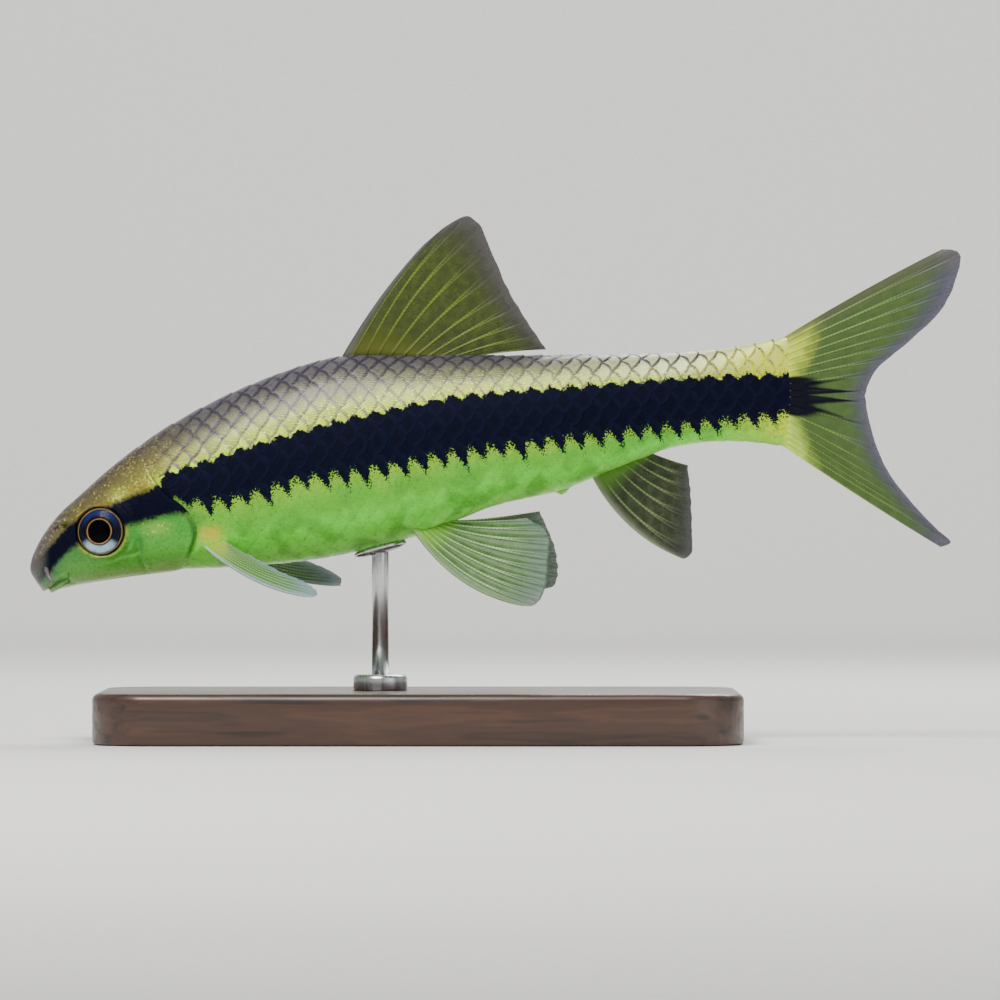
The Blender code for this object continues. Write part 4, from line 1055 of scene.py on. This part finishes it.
def fin_paint(name, root, web, ray, margin, clear, lead_tint, low_root=None):
    """Opaque jointed rays in a web that lets light through, with a soft margin where the rays fade. The tail
    fin has another colour at its lower root, and the stripe runs out along its middle rays."""
    paint = Finish(name)
    crest, out, walked = paint.number("ray"), paint.number("out"), paint.number("walked")
    lead = paint.number("lead")
    mottle = paint.noise(900.0, 3.0)
    web_shade = paint.mix(paint.between(mottle, 0.2, 0.8), web, paint.mix(0.22, web, ray))
    web_shade = paint.mix(paint.between(out, 0.74, 1.0, 0.0, 0.85), web_shade, margin)
    joint = paint.math("SINE", paint.math("MULTIPLY", walked, 13.5))
    joint = paint.math("MULTIPLY", paint.between(joint, 0.45, 0.95), paint.between(out, 0.10, 0.25))
    ray_shade = paint.mix(paint.math("MULTIPLY", joint, 0.6), ray, paint.mix(0.5, web, colour(20, 20, 24)))
    ray_shade = paint.mix(paint.between(out, 0.50, 0.92, 0.0, 0.9), ray_shade, margin)
    on_ray = paint.math("MULTIPLY", paint.between(crest, 0.25, 0.75), paint.between(out, 0.6, 1.0, 1.0, 0.5))
    shade = paint.mix(on_ray, web_shade, ray_shade)
    base = paint.between(paint.math("ADD", out, paint.math("MULTIPLY", mottle, 0.14)), 0.12, 0.34, 1.0, 0.0)
    if low_root:
        root = paint.mix(paint.between(lead, 0.45, 0.62), root, low_root)
    shade = paint.mix(base, shade, root)
    shade = paint.mix(paint.between(lead, 0.0, 0.12, 0.7, 0.0), shade, lead_tint)
    if low_root:
        middle = paint.math("ABSOLUTE", paint.math("SUBTRACT", lead, 0.53))
        away = paint.math("SUBTRACT", middle, paint.between(out, 0.0, 0.5, 0.165, 0.085))
        gap = paint.math("POWER", paint.number("gap"), 0.5)
        frayed = paint.math("ADD", out, paint.math("MULTIPLY", gap, 0.50))
        night = paint.between(paint.math("ADD", frayed, paint.math("MULTIPLY", mottle, 0.1)), 0.84, 1.06, 1.0, 0.0)
        night = paint.math("MULTIPLY", night, paint.between(away, -0.02, 0.01, 1.0, 0.0))
        shade = paint.mix(night, shade, colour(1, 3, 19))
    specks = paint.between(paint.cells(3100.0), 0.08, 0.22, 0.2, 0.0)
    shade = paint.mix(specks, shade, colour(40, 36, 44))
    paint.bump(paint.math("ADD", paint.math("MULTIPLY", mottle, 0.4), paint.math("MULTIPLY", joint, -0.5)), 0.4, 0.00005)
    solid_share = paint.math("MAXIMUM", on_ray, base)
    if low_root:
        solid_share = paint.math("MAXIMUM", solid_share, night)
    thickness = paint.between(solid_share, 0.0, 1.0, clear, 1.0)
    thickness = paint.math("MULTIPLY", thickness, paint.between(out, 0.86, 1.0, 1.0, 0.85))
    wet = paint.between(night, 0.0, 1.0, 0.1, 0.0) if low_root else 0.1
    return paint.set(Base_Color=shade, Alpha=thickness, Roughness=paint.between(mottle, 0.2, 0.8, 0.28, 0.45),
                     Coat_Weight=wet, Coat_Roughness=0.15, Specular_IOR_Level=0.12)


def upright(pairs):
    """Points of the plane that halves the fish, from (x, z) pairs."""
    return np.stack([pairs[..., 0], 0 * pairs[..., 0], pairs[..., 1]], axis=-1)


def dorsal_shape(u):
    x = smooth_through([(0, -18.6), (0.5, -11.4), (0.8, -7.6), (1, -5.4)], u)
    roots = upright(np.stack([x, outline(BACK, x - SNOUT_X) - 0.7], axis=-1))
    tips = upright(smooth_through([(0, -8.4, 58.8), (0.1, -5.7, 61.0), (0.2, -3.2, 62.1), (0.27, -2.0, 61.3),
                                   (0.42, -0.4, 57.9), (0.6, 1.6, 53.4), (0.8, 3.8, 49.7), (1, 6.1, 46.3)], u))
    bends = smooth_through([(0, -0.7, 0.9), (0.1, -1.3, 1.2), (0.2, -1.9, 1.5), (0.5, -0.8, 0.8), (1, 0.0, 0.6)], u)
    return roots, tips, upright(bends)


def anal_shape(u):
    x = smooth_through([(0, 11.2), (0.5, 14.4), (1, 17.8)], u)
    roots = upright(np.stack([x, outline(BELLY, x - SNOUT_X) + 0.7], axis=-1))
    tips = upright(smooth_through([(0, 21.5, 21.8), (0.07, 22.5, 21.5), (0.14, 23.2, 22.2), (0.3, 23.3, 24.6),
                                   (0.6, 23.2, 28.6), (1, 22.8, 32.6)], u))
    return roots, tips, upright(smooth_through([(0, -1.7, -2.0), (1, 0.0, -0.2)], u))


def tail_shape(u):
    """Both lobes in one sweep. The middle rays are the shortest, which makes the fork."""
    roots = upright(np.stack([TAIL_ROOT_X - 0.9 + 0 * u, 47.5 - 12.4 * u], axis=-1))
    tips = upright(smooth_through([(0, 52.9, 58.2), (0.03, 54.3, 58.1), (0.06, 55.0, 57.5), (0.125, 54.6, 54.9),
                                   (0.225, 52.8, 51.0),
                                   (0.335, 48.8, 47.1), (0.44, 44.9, 43.6), (0.5, 43.9, 41.3), (0.556, 43.9, 40.1),
                                   (0.61, 44.4, 37.3), (0.70, 46.2, 32.4), (0.80, 49.2, 28.3), (0.89, 52.2, 25.1),
                                   (0.956, 53.9, 23.4), (1, 52.7, 22.9)], u))
    return roots, tips, upright(np.stack([0 * u, 0.6 - 1.0 * u], axis=-1))


def pectoral_shape(side):
    tips_at = [(0, -21.2, 17.4, 17.1), (0.25, -20.7, 15.3, 17.8), (0.5, -22.3, 12.6, 18.9), (0.75, -25.1, 9.9, 20.1),
               (1, -28.6, 7.0, 21.8)] if side < 0 else [
                   (0, -18.6, 16.6, 18.3), (0.25, -18.5, 14.6, 19.1), (0.5, -20.2, 12.0, 20.3),
                   (0.75, -23.4, 9.5, 21.5), (1, -27.4, 6.9, 22.9)]

    def shape(u):
        root_at = smooth_through([(0, -34.7, 23.2), (1, -32.2, 23.9)], u)
        place, out = flank(root_at[:, 0], root_at[:, 1], side)
        bends = np.array([0.0, 1.2 * side, -2.4]) * (1 - 0.75 * u)[:, None]
        return place - out * 0.25, smooth_through(tips_at, u) * (1, side, 1), bends

    return shape


def pelvic_shape(side):
    tips_at = [(0, 3.3, 9.4, 16.0), (0.08, 4.4, 9.2, 16.1), (0.15, 5.1, 9.0, 16.6), (0.3, 5.8, 8.3, 17.9),
               (0.6, 6.3, 6.3, 21.6), (0.86, 5.9, 4.3, 25.1), (1, 3.7, 3.1, 26.4)] if side < 0 else [
                   (0, 5.8, 8.8, 18.0), (0.08, 6.8, 8.6, 18.1), (0.15, 7.3, 8.3, 18.7), (0.3, 7.5, 7.6, 20.0),
                   (0.6, 7.1, 5.9, 23.0), (1, 5.3, 3.2, 27.2)]

    def shape(u):
        x, y = smooth_through([(0, -9.9, 3.8), (1, -6.2, 1.7)], u).T
        roots = np.stack([x, side * y, underside(x, y) + 0.35], axis=-1)
        bends = np.array([-1.9, 0.6 * side, -2.9]) * (1 - 0.85 * u)[:, None]
        return roots, smooth_through(tips_at, u) * (1, side, 1), bends

    return shape


back_fin = fin_paint("dorsal fin", colour(78, 84, 30), colour(48, 56, 14), colour(104, 124, 34),
                     colour(60, 54, 60), 0.88, colour(96, 92, 100))
tail_look = fin_paint("tail fin", colour(186, 204, 60), colour(60, 84, 38), colour(106, 132, 56),
                      colour(74, 66, 96), 0.88, colour(84, 84, 62), colour(176, 208, 76))
anal_look = fin_paint("anal fin", colour(84, 128, 42), colour(26, 34, 14), colour(110, 126, 78),
                      colour(52, 52, 54), 0.90, colour(138, 148, 122))
belly_look = fin_paint("pelvic fins", colour(108, 160, 50), colour(60, 96, 44), colour(150, 178, 120),
                       colour(88, 110, 96), 0.82, colour(140, 166, 122))
breast_look = fin_paint("pectoral fins", colour(148, 172, 46), colour(76, 122, 58), colour(130, 166, 100),
                        colour(124, 148, 158), 0.80, colour(168, 190, 200))
make_fin("fin_dorsal", dorsal_shape, 11, 90, back_fin, ("dorsal_fin",), 0.35, (1, 0), 0.12, 2)
make_fin("fin_anal", anal_shape, 8, 70, anal_look, ("anal_fin",), 0.30, (1, 0), 0.10, 3)
make_fin("fin_tail", tail_shape, 19, 100, tail_look, ("tail_fin_upper", "tail_fin_lower"), 0.95, (1, 1), 0.12, 4)
for side, word in ((-1, "left"), (1, "right")):
    make_fin("fin_pectoral_" + word, pectoral_shape(side), 11, 66, breast_look, ("pectoral_fin_" + word,), 0.25,
             (1, 0), 0.10, 5 + side)
    make_fin("fin_pelvic_" + word, pelvic_shape(side), 9, 66, belly_look, ("pelvic_fin_" + word,), 0.30,
             (1, 0), 0.10, 8 + side)
print("fins done")

# %% [markdown]
# The stand stays quiet: oiled dark wood with its grain along the length, and brushed steel. The base is a
# rounded rectangle carried up a profile. Rod and collar are profiles turned about an upright line.

# %% Stand
ROD_X = -13.6
BASE_TOP = 6.0
BASE_HALF = (38.0, 21.0)
BASE_CORNER = 7.0
BASE_X = -9.0


def rounded_ring(inset, height, steps=20):
    """Four quarter circles joined by straight sides, all drawn in by the same inset."""
    radius = max(BASE_CORNER - inset, 0.4)
    turn = np.radians(np.concatenate([np.linspace(q * 90, q * 90 + 90, steps) for q in range(4)]))
    away = np.array(BASE_HALF) - inset - radius
    corner = np.repeat([(1, 1), (-1, 1), (-1, -1), (1, -1)], steps, axis=0) * away
    ring = corner + radius * np.stack([np.cos(turn), np.sin(turn)], axis=1)
    return np.column_stack([ring[:, 0] + BASE_X, ring[:, 1], np.full(len(ring), height)])


def wood_paint():
    paint = Finish("dark oiled wood")
    long_way = paint.stretched(1.0, 9.0, 9.0)
    wander = paint.noise(26.0, 4.0, long_way)
    bands = paint.math("SINE", paint.math("MULTIPLY", wander, 58.0))
    pores = paint.noise(900.0, 2.0, paint.stretched(0.06, 1.0, 1.0))
    shade = paint.ramp(paint.math("ADD", paint.math("MULTIPLY", bands, 0.08), wander), [
        (0.25, colour(44, 28, 20)), (0.5, colour(62, 39, 27)), (0.8, colour(80, 51, 34))])
    shade = paint.mix(paint.between(pores, 0.58, 0.72, 0.0, 0.75), shade, colour(22, 14, 10))
    paint.bump(paint.math("ADD", paint.math("MULTIPLY", bands, 0.2), pores), 0.25, 0.00010)
    return paint.set(Base_Color=shade, Roughness=paint.between(pores, 0.3, 0.7, 0.30, 0.46), Coat_Weight=0.25,
                     Coat_Roughness=0.22)


def steel_paint():
    paint = Finish("brushed steel")
    streaks = paint.noise(1600.0, 3.0, paint.stretched(1.0, 1.0, 0.05))
    shade = paint.ramp(streaks, [(0.25, colour(176, 178, 182)), (0.75, colour(206, 207, 210))])
    paint.bump(streaks, 0.2, 0.00003)
    return paint.set(Base_Color=shade, Metallic=1.0, Roughness=paint.between(streaks, 0.2, 0.8, 0.20, 0.34))


def turned(profile, steps=72):
    """A profile of (distance from the rod's axis, height) turned about that axis."""
    profile = np.asarray(profile, float)
    turn = np.linspace(0, 2 * math.pi, steps, endpoint=False)
    return np.stack([ROD_X + profile[:, :1] * np.cos(turn), profile[:, :1] * np.sin(turn),
                     profile[:, 1:] + 0 * turn], axis=-1)


wood, steel = wood_paint(), steel_paint()
round_over = np.radians(np.linspace(0, 90, 9))
profile = [(0.5, 0.0), (0.12, 0.12), (0.0, 0.5)]
profile += [(0.9 - 0.9 * math.cos(a), BASE_TOP - 0.9 + 0.9 * math.sin(a)) for a in round_over]
profile += [(2.5, BASE_TOP), (6.0, BASE_TOP)]
rings = np.array([rounded_ring(inset, height) for inset, height in profile])
make_piece("base_wood", closed_points(rings), [face[:, ::-1] for face in closed_faces(len(rings), rings.shape[1])], wood,
           ("stand_base",))
pad_foot = underside(ROD_X, 0.0) - 0.55
rings = turned([(1.0, BASE_TOP + 0.05), (1.0, pad_foot - 0.4), (0.97, pad_foot)])
make_piece("rod_steel", closed_points(rings), [face[:, ::-1] for face in closed_faces(len(rings), 72)], steel,
           ("stand_rod",))
bend = [(2.6 + 0.6 * math.cos(a), BASE_TOP + 1.3 + 0.6 * math.sin(a)) for a in round_over]
rings = turned([(3.1, BASE_TOP + 0.02), (3.2, BASE_TOP + 0.15)] + bend + [(1.5, BASE_TOP + 1.9), (1.12, BASE_TOP + 1.6)])
make_piece("collar_steel", closed_points(rings), [face[:, ::-1] for face in closed_faces(len(rings), 72)], steel,
           ("stand_collar",))


def pad_ring(share, drop, steps=72):
    """An oval that keeps a distance under the belly."""
    turn = np.linspace(0, 2 * math.pi, steps, endpoint=False)
    x, y = ROD_X + 3.0 * share * np.cos(turn), 2.2 * share * np.sin(turn)
    return np.stack([x, y, underside(x, y) - drop], axis=-1)


pad = [(0.3, 0.02), (0.7, 0.02), (0.94, 0.04), (1.0, 0.14), (1.03, 0.35), (1.0, 0.58), (0.92, 0.72), (0.7, 0.86),
       (0.35, 0.95)]
rings = np.array([pad_ring(share, drop) for share, drop in pad])
make_piece("cradle_steel", closed_points(rings), [face for face in closed_faces(len(rings), 72)], steel,
           ("stand_cradle",))
print("stand done")
